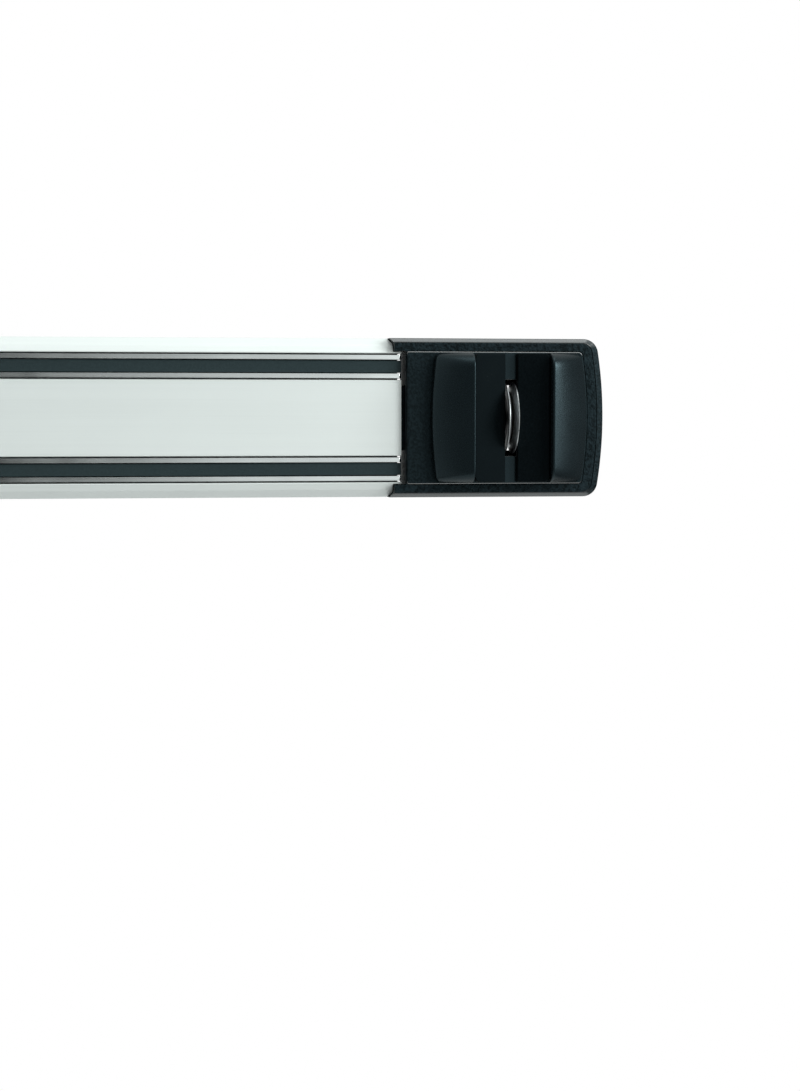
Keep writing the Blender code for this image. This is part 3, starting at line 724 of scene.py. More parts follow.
@dataclass(frozen=True)
class MouldedPlastic(Finish):
    """Black moulded plastic, from a pebbled grain to a satin skin."""

    cell_scale: float = 2600.0
    coarseness: float = 0.3
    grain_depth: float = 0.00004
    contrast: float = 0.3
    dust: float = 0.25
    polished: Pair | None = None
    sheen_ior: float = 2.1
    sheen_roughness: float = 0.22
    edge_heights: Pair = (-0.002, -0.001)
    cool_tint: Colour = (0.58, 0.88, 1.0, 1.0)
    dust_colour: Colour = (0.25, 0.27, 0.27, 1.0)

    def dress(self, bench: NodeBench, shader: Node, place: Any) -> None:
        """Adds the grain, painted glints (a painted highlight on the pebble tops) and a little dust."""
        grain = self.effect(
            bench, Effect.GRAIN, place, Cell_Scale=self.cell_scale, Coarseness=self.coarseness
        )
        marks = self.effect(bench, Effect.HANDLING, place, Smudge_Scale=60.0, Dust_Scale=1400.0)
        tone = bench.spread(grain.outputs["Tone"], 0.36, 0.64)
        base = bench.blend(tone, tint(self.colour, 1 - self.contrast), tint(self.colour, 1 + self.contrast))
        # Painted highlight: the pebble tops are lightened in the base colour to stand in for glints of light.
        painted_glint_share = bench.times(grain.outputs["Glint"], self.contrast)
        base = bench.blend(painted_glint_share, base, tint(self.colour, 4.0))
        base = bench.blend(bench.times(marks.outputs["Dust"], self.dust), base, self.dust_colour)
        worn = bench.times(marks.outputs["Smudge"], -0.06)
        rough = bench.plus(bench.spread(tone, 0.0, 1.0, self.roughness, self.roughness + 0.1), worn)
        height = grain.outputs["Height"]
        if self.polished is not None:
            sheen = self.polished_share(bench, place)
            height = bench.times(height, bench.without(sheen))
            bench.link(shader, {"Coat Weight": sheen})
            shader.inputs["Coat Roughness"].default_value = self.sheen_roughness
            shader.inputs["Coat IOR"].default_value = self.sheen_ior
        bench.link(shader, {"Base Color": base, "Roughness": rough})
        shader.inputs["Specular Tint"].default_value = self.cool_tint
        self.bump(bench, shader, height, self.grain_depth, 0.8)

    def polished_share(self, bench: NodeBench, place: Any) -> Socket:
        """Returns 1 where the mould was polished, and 0 elsewhere.

        Args:
            bench: The material's nodes.
            place: Object coordinates.

        Returns:
            The share: full between two depths, and growing towards the rack's long edges.
        """
        back, front = self.polished
        _, deep, high = bench.parts(place)
        depth = bench.times(deep, -1.0)
        after = bench.spread(depth, back - 0.0002, back)
        before = bench.spread(depth, front, front + 0.00008, 1.0, 0.0)
        edges = bench.spread(bench.math("ABSOLUTE", high), *self.edge_heights)
        return bench.times(bench.times(after, before), edges)


@dataclass(frozen=True)
class WheelSteel(Finish):
    """Dark hardened steel whose bevel and rim are ground bright."""

    centre_depth: float = 0.0158
    bright_radius: float = 0.0098
    bright: Triple = (0.52, 0.54, 0.55)
    mark_scales: Triple = (5200.0, 9.0, 900.0)

    def dress(self, bench: NodeBench, shader: Node, place: Any) -> None:
        """Adds the bright ring and the grinding marks round the wheel."""
        across, low, high = bench.parts(place)
        deep = bench.plus(low, self.centre_depth)
        radius = bench.math("SQRT", bench.plus(bench.times(deep, deep), bench.times(high, high)))
        angle = bench.math("ARCTAN2", deep, high)
        scales = zip((radius, angle, across), self.mark_scales)
        unrolled = {index: bench.times(*pair) for index, pair in enumerate(scales)}
        ring = bench.add("ShaderNodeCombineXYZ", unrolled).outputs[0]
        marks = bench.noise(ring, 1.0, 3.0, 0.6)
        edge = bench.plus(radius, bench.times(bench.noise(place, 700.0), 0.0004))
        bright = bench.spread(edge, self.bright_radius, self.bright_radius + 0.0004)
        ground = bench.blend(marks, tint(self.bright, 0.7), tint(self.bright, 1.2))
        plain = bench.blend(marks, tint(self.colour, 0.7), tint(self.colour, 1.3))
        rough = bench.math("SUBTRACT", bench.spread(marks, 0.3, 0.7, 0.45, 0.6), bench.times(bright, 0.18))
        bench.link(shader, {"Base Color": bench.blend(bright, plain, ground), "Roughness": rough})
        self.bump(bench, shader, marks, 0.00001, 0.5)


@dataclass(frozen=True)
class Sintered(Finish):
    """Pressed and fired magnet material, with small pits and chipped edges."""

    def dress(self, bench: NodeBench, shader: Node, place: Any) -> None:
        """Adds pits, mottling and a dusty bloom."""
        pits = bench.noise(place, 1700.0, 5.0, 0.7)
        cloud = bench.noise(place, 120.0, 3.0, 0.5)
        base = bench.blend(bench.spread(cloud, 0.3, 0.7), tint(self.colour, 0.7), tint(self.colour, 1.5))
        bench.link(shader, {"Base Color": base, "Roughness": bench.spread(pits, 0.3, 0.7, 0.6, 0.9)})
        self.bump(bench, shader, pits, 0.00005, 0.7)


@dataclass(frozen=True)
class ZincPlate(Finish):
    """Bright zinc on small steel parts, slightly clouded."""

    def dress(self, bench: NodeBench, shader: Node, place: Any) -> None:
        """Adds clouding, fine pitting and a trace of yellow passivation."""
        cloud = bench.noise(place, 420.0, 3.0, 0.6)
        fine = bench.noise(place, 3800.0, 2.0, 0.6)
        warm = (self.colour[0] * 1.05, self.colour[1] * 0.99, self.colour[2] * 0.86, 1.0)
        base = bench.blend(bench.spread(cloud, 0.4, 0.65), tint(self.colour, 0.9), warm)
        bench.link(shader, {"Base Color": base, "Roughness": bench.spread(fine, 0.3, 0.7, 0.22, 0.4)})
        self.bump(bench, shader, fine, 0.00001, 0.4)


SATIN_ALUMINIUM = DrawnMetal(
    "drawn_bar_aluminium", (0.82, 0.86, 0.845), 0.46, 0.14, 0.3, contrast=0.012, smudge=0.035,
    line_depth=0.000003,
)
RAIL_STEEL = DrawnMetal(
    "ground_strip_steel", (0.74, 0.77, 0.77), 0.13, 1.0, line_scale=5200.0, length_scale=30.0,
    line_depth=0.000002, contrast=0.10, smudge=0.12,
)
FILLER_PLASTIC = MouldedPlastic(
    "strip_plastic", (0.028, 0.041, 0.044), 0.50, specular=0.15, cell_scale=4200.0, coarseness=0.1,
    grain_depth=0.00001, contrast=0.12, dust=0.3,
)
RIM_BLACK = MouldedPlastic(
    "rim_plastic", (0.0046, 0.0076, 0.0092), 0.50, specular=0.17, cell_scale=1400.0, coarseness=1.0,
    grain_depth=0.00016, contrast=0.95, polished=(0.0135, 0.01588), edge_heights=(0.0265, 0.0295),
)
PLATE_BLACK = MouldedPlastic(
    "plate_plastic", (0.0044, 0.0073, 0.0088), 0.50, specular=0.17, cell_scale=1800.0, coarseness=0.6,
    grain_depth=0.00008, contrast=0.60, polished=(0.0152, 0.01632), edge_heights=(0.0235, 0.0248),
    sheen_ior=3.2,
)
SATIN_BLACK = MouldedPlastic(
    "cover_plastic", (0.0050, 0.0080, 0.0096), 0.27, specular=0.34, cell_scale=5200.0, coarseness=0.1,
    grain_depth=0.0000015, contrast=0.08, dust=0.15,
)
MATT_BLACK = MouldedPlastic(
    "guide_plastic", (0.0018, 0.0029, 0.0036), 0.60, specular=0.075, cell_scale=3000.0, coarseness=0.3,
    grain_depth=0.00004, contrast=0.35,
)
FERRITE = Sintered("pressed_ferrite", (0.040, 0.040, 0.043), 0.75)
ZINC = ZincPlate("clouded_zinc", (0.60, 0.61, 0.60), 0.3, 1.0)


# ---- The bar ------------------------------------------------------------------------------


@dataclass
class BarProfile:
    """The drawn aluminium bar, with its grooves, chambers and keyholes."""

    half_height: float = 0.0300
    edge_depth: float = 0.0085
    shoulder: Pair = (0.0271, 0.0123)
    lip: Pair = (0.0247, 0.0137)
    groove: Pair = (0.0143, 0.0243)
    groove_floor: float = 0.0030
    face_depth: float = 0.0135
    wall: float = 0.0016
    web: float = 0.0018
    chamber_half: float = 0.0125
    keyhole_x: float = 0.130
    keyhole_head: float = 0.0046
    keyhole_neck: float = 0.0023
    keyhole_rise: float = 0.0080
    screw_offset: float = 0.0085
    screw_mouth: float = 0.0033
    screw_sink: float = 0.0013

    def section(self) -> Outline:
        """Returns the outer (z, depth) section, with each edge slightly round."""
        inner, outer = self.groove
        upper = [
            (self.half_height, 0.0, 0.0003),
            (self.half_height, self.edge_depth, 0.0010),
            (*self.shoulder, 0.0016),
            (*self.lip, 0.00015),
            (outer, self.lip[1], 0.00005),
            (outer, self.groove_floor, 0.0),
            (inner, self.groove_floor, 0.0),
            (inner, self.face_depth, 0.00030),
        ]
        lower = [(-z, depth, radius) for z, depth, radius in reversed(upper)]
        return rounded(upper + lower)

    def chambers(self) -> list[Outline]:
        """Returns the hollows that run the bar's whole length."""
        half, top = self.chamber_half, self.face_depth - self.wall
        hollows = [[(half, self.web), (half, top), (-half, top), (-half, self.web)]]
        near = self.groove[1] + self.wall
        far = self.half_height - self.wall
        for level in Level:
            corners = [
                (near, self.web),
                (far, self.web),
                (far, self.edge_depth - self.wall / 2),
                (near, self.shoulder[1] - self.wall / 2),
            ]
            hollows.append([(level.value * z, depth) for z, depth in corners])
        return hollows

    def keyhole(self, x: float) -> Outline:
        """Returns a keyhole's outline: a round entry with a narrower slot above it."""
        half = math.degrees(math.asin(self.keyhole_neck / self.keyhole_head))
        points = arc((x, 0.0), self.keyhole_head, 90 + half, 450 - half, 36)
        return points + arc((x, self.keyhole_rise), self.keyhole_neck, 0, 180, 14)

    def end_mill(self, end_x: float, side: Side, level: Level) -> Outline:
        """Returns what is milled off a long edge, so that a moulding's prong can lap over it."""
        tip = end_x - side.value * BAR_SETBACK
        start = tip - side.value * GAP
        far = tip + side.value * 2 * BAR_SETBACK
        low = level.value * (PRONG_HEIGHT - GAP)
        bend = level.value * (self.half_height - MITRE_RISE)
        high = level.value * (self.half_height + MITRE_RISE)
        outer = start - side.value * MITRE_RUN
        inner = start + side.value * MITRE_RUN
        return [(outer, high), (inner, bend), (inner, low), (far, low), (far, high)]

    def screw_hole(self, x: float, z: float) -> Solid:
        """Returns the cutter of a countersunk hole that opens towards the wall."""
        mouth, far = self.screw_mouth, self.web + GAP
        profile = [(-GAP, 0), (-GAP, mouth), (0, mouth), (self.screw_sink, SCREW_HOLE), (far, SCREW_HOLE)]
        return turned([*profile, (far, 0)], Vector((x, 0, z)), False, 40)

    def build(self) -> None:
        """Builds the bar and hands it over."""
        low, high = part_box("bar_profile")
        piece = Workpiece("bar_extrusion", long_prism([self.section(), *self.chambers()], low.x, high.x))
        for x in (-self.keyhole_x, self.keyhole_x):
            piece.cut(front_prism(self.keyhole(x), -OVERRUN, self.web + OVERRUN))
        for side, end_x in ((Side.LEFT, low.x), (Side.RIGHT, high.x)):
            for level in Level:
                piece.cut(front_prism(self.end_mill(end_x, side, level), -OVERRUN, 2 * self.face_depth))
                x = end_x - side.value * self.screw_offset
                piece.cut(self.screw_hole(x, level.value * TONGUE_SCREW_HEIGHT))
        hand_over(piece.finish(SATIN_ALUMINIUM.material()), ROOT, "bar_aluminium", "bar_profile")


def strip_tree() -> Tree:
    """Builds the tree of a strip on edge: a rounded outline, filled and drawn out to a width.

    Returns:
        The Geometry Nodes tree.
    """
    inputs = {
        "Length": (FLOAT, 0.38),
        "Depth": (FLOAT, 0.01),
        "Width": (FLOAT, 0.002),
        "End Radius": (FLOAT, 0.001),
        "Low Corner": (VECTOR, None),
        "Material": ("NodeSocketMaterial", None),
    }
    bench, given, result = new_group("Strip", "GeometryNodeTree", inputs, {"Geometry": GEOMETRY})
    feed = {"Width": given.outputs["Length"], "Height": given.outputs["Depth"]}
    frame_curve = bench.add("GeometryNodeCurvePrimitiveQuadrilateral", feed).outputs[0]
    feed = {"Curve": frame_curve, "Radius": given.outputs["End Radius"], "Count": 5, "Limit Radius": True}
    soft = bench.add("GeometryNodeFilletCurve", feed, mode="POLY").outputs[0]
    face = bench.add("GeometryNodeFillCurve", {"Curve": soft}, mode="NGONS").outputs[0]
    up = bench.add("ShaderNodeCombineXYZ", {2: given.outputs["Width"]}).outputs[0]
    feed = {"Mesh": face, "Offset": up, "Offset Scale": 1.0, "Individual": False}
    walls = bench.add("GeometryNodeExtrudeMesh", feed).outputs[0]
    floor = bench.add("GeometryNodeFlipFaces", {"Mesh": face}).outputs[0]
    both = bench.add("GeometryNodeJoinGeometry")
    bench.tree.links.new(walls, both.inputs[0])
    bench.tree.links.new(floor, both.inputs[0])
    closed = bench.add("GeometryNodeMergeByDistance", {"Geometry": both.outputs[0], "Distance": 1e-6})
    half_x = bench.times(given.outputs["Length"], 0.5)
    half_y = bench.times(given.outputs["Depth"], 0.5)
    centre = bench.add("ShaderNodeCombineXYZ", {0: half_x, 1: half_y}).outputs[0]
    shift = bench.add("ShaderNodeVectorMath", {0: given.outputs["Low Corner"], 1: centre}).outputs[0]
    placed = bench.add("GeometryNodeTransform", {"Geometry": closed.outputs[0], "Translation": shift})
    real = bench.add("GeometryNodeRealizeInstances", {"Geometry": placed.outputs[0]}).outputs[0]
    feed = {"Geometry": real, "Material": given.outputs["Material"]}
    dressed = bench.add("GeometryNodeSetMaterial", feed).outputs[0]
    bench.tree.links.new(dressed, result.inputs[0])
    return bench.tree


def grown_from(tree: Tree, start: bpy.types.Mesh, **values: Any) -> bpy.types.Mesh:
    """Runs a Geometry Nodes tree once and returns what it makes.

    Args:
        tree: The tree.
        start: The mesh that it starts from, which may be empty.
        values: Its inputs, with an underscore for each space.

    Returns:
        The plain mesh.
    """
    carrier = bpy.data.objects.new(start.name, start)
    modifier = carrier.modifiers.new(tree.name, "NODES")
    modifier.node_group = tree
    sockets = {item.name: item.identifier for item in tree.interface.items_tree if item.in_out == "INPUT"}
    for label, value in values.items():
        modifier[sockets[label.replace("_", " ")]] = value
    bpy.context.scene.collection.objects.link(carrier)
    mesh = evaluated_copy(carrier)
    carrier.modifiers.remove(modifier)
    bpy.data.objects.remove(carrier, do_unlink=True)
    return mesh


@dataclass
class MagneticRails:
    """The steel strips that carry the magnetism to the front, and what lies between them."""

    end_radius: float = 0.0010
    edge: float = 0.00018

    def build(self) -> None:
        """Builds every strip from its frame box, and dresses the magnets behind them."""
        tree = strip_tree()
        jobs = [(f"{level}_{place}_pole_rail", "rail_steel", RAIL_STEEL, self.end_radius)
                for level in ("upper", "lower") for place in ("outer", "inner")]
        jobs += [(f"{level}_filler_strip", "filler", FILLER_PLASTIC, self.edge)
                 for level in ("upper", "lower")]
        for node, slot, finish, radius in jobs:
            low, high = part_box(node)
            material = finish.material()
            mesh = grown_from(
                tree, bpy.data.meshes.new(f"{node}_start"), Length=high.x - low.x, Depth=high.y - low.y,
                Width=high.z - low.z, End_Radius=radius, Low_Corner=low, Material=material,
            )
            made = bmesh.new()
            made.from_mesh(mesh)
            name = node.replace("pole_rail", "steel_strip").replace("filler_strip", "dark_strip")
            piece = Workpiece(name, made)
            hand_over(piece.bevel(self.edge).finish(material), ROOT, slot, node)
        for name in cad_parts:
            if "_magnet_" in name:
                dress_node(name, FERRITE)


def dress_node(name: str, finish: Finish) -> None:
    """Gives a frame node that stays a finished material.

    Args:
        name: The node.
        finish: What it gets.
    """
    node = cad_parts[name]
    node.data.materials.clear()
    node.data.materials.append(finish.material())


# ---- End mouldings ------------------------------------------------------------------------


@dataclass
class EndMoulding:
    """A hollow end moulding: chamfered rim, groove, grained band and a recess with its plate."""

    side: Side
    node: str
    plate_node: str
    name: str
    plate_name: str
    depth: float = 0.0160
    bulge: float = 0.160
    corner: float = 0.0057
    wall: float = 0.0020
    deck_setback: float = 0.0060
    deck: float = 0.0018
    plate_inset: Pair = (0.0062, 0.0065)
    plate_half: float = 0.0250
    plate_corner: float = 0.0015
    inner_corner: float = 0.0008
    plate_thickness: float = 0.0014
    end_gain: float = 1.7
    lip_radius: float = 0.00012
    plate_gap: float = 0.00015
    plate_round: float = 0.00050
    tongue: float = 0.0175
    tongue_half: float = 0.0122
    tongue_depths: Pair = (0.0021, 0.0116)
    screw_offset: float = 0.0100
    groove_insets: Pair = (0.00146, 0.00168)
    groove_depth: float = 0.0006

    def __post_init__(self) -> None:
        """Reads where the moulding lies from the frame."""
        bar_low, bar_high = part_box("bar_profile")
        low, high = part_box(self.node)
        self.mirror = self.side.value
        bar_end = bar_high.x if self.side is Side.RIGHT else -bar_low.x
        self.tip = bar_end - BAR_SETBACK
        self.half_length = high.x if self.side is Side.RIGHT else -low.x
        self.half = high.z
        self.front = -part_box(self.plate_node)[0].y
        self.recess = self.front - self.plate_thickness - GAP

    def _placed(self, points: Outline) -> Outline:
        """Turns an outline drawn for the right end to this moulding's end."""
        return [(self.mirror * x, z) for x, z in points]

    def outline(self, inset: float) -> Outline:
        """Returns the moulding's outline, drawn in by a distance from its outer edges."""
        start = self.tip + MITRE_RUN * inset / MITRE_RISE
        bend, deck = self.tip + MITRE_RUN, self.tip + self.deck_setback
        bend_z = self.half - MITRE_RISE
        points = self.rim_path(inset, start)
        points += [(bend, -bend_z), (bend, -PRONG_HEIGHT), (deck, -PRONG_HEIGHT)]
        return self._placed([*points, (deck, PRONG_HEIGHT), (bend, PRONG_HEIGHT), (bend, bend_z)])

    def rim_path(self, inset: float, start: float) -> Outline:
        """Returns the open path along the rim at a distance from its outer edges."""
        half = self.half - inset
        end_x = self.half_length - inset * self.end_gain
        corner = max(self.corner - inset, self.corner / 2)
        return [(start, half), *bulging_end(end_x, half, self.bulge - inset, corner), (start, -half)]

    def plate_outline(self, grow: float) -> Outline:
        """Returns the outline of the plate in the recess, grown or shrunk."""
        left, right = self.plate_inset
        start = self.tip + left - grow
        half = self.plate_half + grow
        radius = self.plate_corner + grow
        points = bulging_end(self.half_length - right + grow, half, self.bulge - right + grow, radius)
        radius = self.inner_corner + grow
        points += arc((start + radius, -half + radius), radius, -90, -180, 8)
        return self._placed(points + arc((start + radius, half - radius), radius, 180, 90, 8))

    def hollow(self) -> Outline:
        """Returns the outline of the hollow behind the deck."""
        start = self.tip + self.deck_setback + self.wall
        half = self.half - self.wall
        end = bulging_end(self.half_length - self.wall, half, self.bulge - self.wall, self.corner - self.wall)
        return self._placed([*end, (start, -half), (start, half)])

    def shell(self) -> Workpiece:
        """Builds the moulding's solid, with the recess and the hollow cut."""
        rim = [
            (0.00030, 0.0), (0.0, 0.00030),
            (0.0, self.depth - 0.00175), (0.00008, self.depth - 0.00150), (0.00024, self.depth - 0.00130),
            (0.00124, self.depth - 0.00030), (0.00140, self.depth - 0.00014), (0.00182, self.depth),
        ]
        piece = Workpiece(self.name, stacked(self.outline, rim))
        near, far = (self.rim_path(inset, self.tip - OVERRUN) for inset in self.groove_insets)
        piece.cut(front_prism(self._placed(near + far[::-1]), self.depth - self.groove_depth, 2 * self.depth))
        flare = [(0.0, self.recess), (0.0, self.depth - self.lip_radius)]
        flare += quarter_round(self.lip_radius, self.depth, (30, 60, 90))
        flare.append((self.lip_radius, 2 * self.depth))
        piece.cut(stacked(lambda grow: self.plate_outline(self.plate_gap + grow), flare))
        piece.cut(front_prism(self.hollow(), -OVERRUN, self.recess - self.deck))
        root = self.mirror * (self.tip + self.deck_setback + self.wall / 2)
        end = self.mirror * (self.tip + self.deck_setback - self.tongue)
        left, right = sorted((root, end))
        back, front = self.tongue_depths
        piece.join(box_mesh((left, back, -self.tongue_half), (right, front, self.tongue_half)))
        x = self.mirror * (self.tip + self.deck_setback - self.screw_offset)
        for level in Level:
            piece.cut(peg(x, level.value * TONGUE_SCREW_HEIGHT, 0, front + OVERRUN, SCREW_HOLE))
        return piece

    def plate(self) -> Workpiece:
        """Builds the plate, with its front edge rounded."""
        back = self.front - self.plate_thickness
        radius = self.plate_round
        rings = [(0.0, back), (0.0, self.front - radius)]
        rings += quarter_round(radius, self.front, (22.5, 45, 67.5, 90))
        return Workpiece(self.plate_name, stacked(lambda inset: self.plate_outline(-inset), rings))

    def build(self) -> None:
        """Builds a plain end and hands it over."""
        self.deliver(self.shell(), self.plate())

    def deliver(self, shell: Workpiece, plate: Workpiece) -> None:
        """Finishes the moulding and its plate."""
        hand_over(shell.finish(RIM_BLACK.material()), ROOT, "textured_black", self.node)
        hand_over(plate.finish(PLATE_BLACK.material()), ROOT, "textured_black", self.plate_node)


# ---- Sharpener ----------------------------------------------------------------------------


@dataclass
class SharpenerHousing(EndMoulding):
    """The right-hand moulding, with a window for the wheels and bosses for the screws."""

    window: Pair = (0.0115, 0.0145)
    boss: float = 0.0036
    boss_back: float = 0.0043

    def build(self) -> None:
        """Builds the housing and its plate."""
        shell, plate = self.shell(), self.plate()
        middle = cap_middle()
        across, up = self.window
        opening = rectangle((middle - across, middle + across), (-up, up))
        shell.cut(front_prism(opening, self.recess - self.deck - OVERRUN, self.depth))
        plate.cut(front_prism(opening, self.recess, 2 * self.depth))
        for x, z in screw_places():
            shell.join(peg(x, z, self.boss_back, self.recess - self.deck + GAP, self.boss))
            shell.cut(peg(x, z, 0, self.depth, SCREW_HOLE))
            plate.cut(peg(x, z, 0, 2 * self.depth, SCREW_HOLE))
        self.deliver(shell, plate)


def cap_middle() -> float:
    """Returns where along the bar the knife slot is."""
    low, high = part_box("sharpener_cap")
    return (low.x + high.x) / 2


def screw_places() -> list[Pair]:
    """Returns the (x, z) places of the screws that hold the sharpener together."""
    places = []
    for index in range(1, 5):
        low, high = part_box(f"sharpener_screw_{index}")
        places.append(((low.x + high.x) / 2, (low.z + high.z) / 2))
    return places


@dataclass
class SharpenerCap:
    """The pillow-shaped cover with the knife channel across its middle."""

    side_radius: float = 0.167
    corner: float = 0.0025
    foot: float = 0.0167
    edge: float = 0.0195
    edge_radius: float = 0.0007
    ridge_radius: float = 0.00055
    crown: float = 0.0010
    rounding: float = 0.0056
    end_share: float = 0.45
    wall: float = 0.0018
    channel: float = 0.0147
    draft: float = 0.0002
    floor: float = 0.0202
    window: Pair = (0.0040, 0.0145)
    floor_drop: float = 0.0012
    cavity_setback: float = 0.0020
    rib: Triple = (0.0062, 0.0095, 0.0015)
    rib_depth: float = 0.0176
    boss: float = 0.0036
    boss_top: float = 0.0220
    hole_top: float = 0.0198
    rows: int = 24
    turns: int = 14
    columns: int = 12

    def __post_init__(self) -> None:
        """Reads the cap's box from the frame."""
        low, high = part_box("sharpener_cap")
        self.middle = (low.x + high.x) / 2
        self.half_width = (high.x - low.x) / 2
        self.half_height = high.z
        self.ridge = -low.y
        self.plate = self.foot - GAP

    def half_width_at(self, z: float) -> float:
        """Returns half the cap's width at a height."""
        width = self.half_width - z * z / (2 * self.side_radius)
        past = abs(z) - (self.half_height - self.corner)
        if past > 0:
            width -= self.corner - math.sqrt(max(0.0, self.corner**2 - past**2))
        return width

    def share_at(self, z: float) -> float:
        """Returns how much of the cap's rise is left at a height, where its ends are round."""
        past = (abs(z) - (self.half_height - self.rounding)) / self.rounding
        if past <= 0:
            return 1.0
        return self.end_share + (1 - self.end_share) * math.sqrt(max(0.0, 1 - past * past))

    def half_section(self, z: float) -> Outline:
        """Returns (across, depth) points from the foot over the ridge to the channel's floor."""
        width, share = self.half_width_at(z), self.share_at(z)

        def lift(depth: float) -> float:
            """Lowers a depth towards the plate, by the share that is left of the rise."""
            return self.plate + (depth - self.plate) * share

        corners: list[Triple] = [(width, self.foot, 0.0)]
        corners.append((width, lift(self.edge), self.edge_radius * share))
        for step in range(1, self.columns):
            part = step / self.columns
            across = width + (self.channel - width) * part
            line = self.edge + (self.ridge - self.edge) * part
            corners.append((across, lift(line + self.crown * 4 * part * (1 - part)), 0.0))
        corners.append((self.channel, lift(self.ridge), self.ridge_radius))
        floor = min(self.floor, lift(self.ridge) - self.floor_drop)
        corners.append((self.channel - self.draft, floor, 0.0))
        corners.append((0.0, floor, 0.0))
        corners.append((0.0, self.foot, 0.0))
        return rounded(corners, 4)[:-2]

    def body(self) -> Solid:
        """Builds the pillow as a loft of cross-sections."""
        straight = self.half_height - self.rounding
        heights = [straight * (2 * step / self.rows - 1) for step in range(self.rows + 1)]
        turn = [straight + self.rounding * math.sin(math.radians(90 * step / self.turns))
                for step in range(1, self.turns + 1)]
        rings = []
        for z in [-value for value in reversed(turn)] + heights + turn:
            half = self.half_section(z)
            left = [Vector((self.middle - across, -depth, z)) for across, depth in half]
            right = [Vector((self.middle + across, -depth, z)) for across, depth in reversed(half)]
            rings.append(left + right)
        return loft(rings)

    def cavity(self, side: Side) -> Solid:
        """Returns the cutter of the wedge-shaped hollow under one half."""
        outer = self.half_width - self.wall - self.cavity_setback
        inner = self.channel + self.wall - self.draft
        low, high = self.edge - self.wall, self.ridge - 2 * self.wall
        corners = [(outer, 0.0), (outer, low), (inner, high), (inner, 0.0)]
        reach = self.half_height - self.rounding
        loop = [Vector((self.middle + side.value * across, -depth, -reach)) for across, depth in corners]
        return fill_and_extrude([loop], Vector((0, 0, 2 * reach)))

    def build(self) -> None:
        """Builds the cap with the hollow, the wheel window, the bosses and the axle ribs."""
        piece = Workpiece("sharpener_cover", self.body())
        for side in Side:
            piece.cut(self.cavity(side))
        inner = self.channel - self.wall
        reach = self.half_height - self.rounding
        ceiling = self.floor - self.wall
        x = self.middle
        piece.cut(box_mesh((x - inner, 0, -reach), (x + inner, ceiling, reach)))
        across, up = self.window
        piece.cut(box_mesh((x - across, 0, -up), (x + across, 2 * self.ridge, up)))
        for side in Side:
            near, far = sorted((x + side.value * self.rib[0], x + side.value * self.rib[1]))
            rib_half = self.rib[2]
            piece.join(box_mesh((near, self.rib_depth, -rib_half), (far, ceiling + GAP, rib_half)))
        for place_x, z in screw_places():
            piece.join(peg(place_x, z, self.foot + GAP, self.boss_top, self.boss))
            piece.cut(peg(place_x, z, 0, self.hole_top, SCREW_HOLE))
        hand_over(piece.finish(SATIN_BLACK.material(), 34, False), ROOT, "smooth_black", "sharpener_cap")


@dataclass
class BladeGuides:
    """The two sloping inserts that lead a blade to the wheels."""

    slot_depth: float = 0.0230
    corner: float = 0.0018
    rounding: tuple[Pair, ...] = ((0.0, 0.00045), (0.00006, 0.00022), (0.0002, 0.00006), (0.00045, 0.0))

    def outline(self, inner: float, outer: float, half: float, inset: float) -> Outline:
        """Returns (across, z) points of one guide, drawn in all round."""
        radius = self.corner - inset
        far, top = outer - inset, half - inset
        points = [(inner + inset, -top), (inner + inset, top)]
        points += arc((far - radius, top - radius), radius, 90, 0, 8)
        return points + arc((far - radius, -top + radius), radius, 0, -90, 8)

    def build(self) -> None:
        """Builds both guides."""
        middle = cap_middle()
        for side, place in ((Side.LEFT, "left"), (Side.RIGHT, "right")):
            low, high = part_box(f"{place}_blade_guide")
            reaches = sorted((side.value * (low.x - middle), side.value * (high.x - middle)))
            slope = (-low.y - self.slot_depth) / (reaches[1] - reaches[0])
            rings = []
            for inset, sunk in ((0.0, None), *self.rounding):
                ring = []
                for across, z in self.outline(*reaches, high.z, inset):
                    front = self.slot_depth + slope * (across - reaches[0])
                    depth = -high.y if sunk is None else front - sunk
                    ring.append(Vector((middle + side.value * across, -depth, z)))
                rings.append(ring)
            piece = Workpiece(f"{place}_knife_guide", loft(rings))
            hand_over(piece.finish(MATT_BLACK.material()), ROOT, "matt_black", f"{place}_blade_guide")


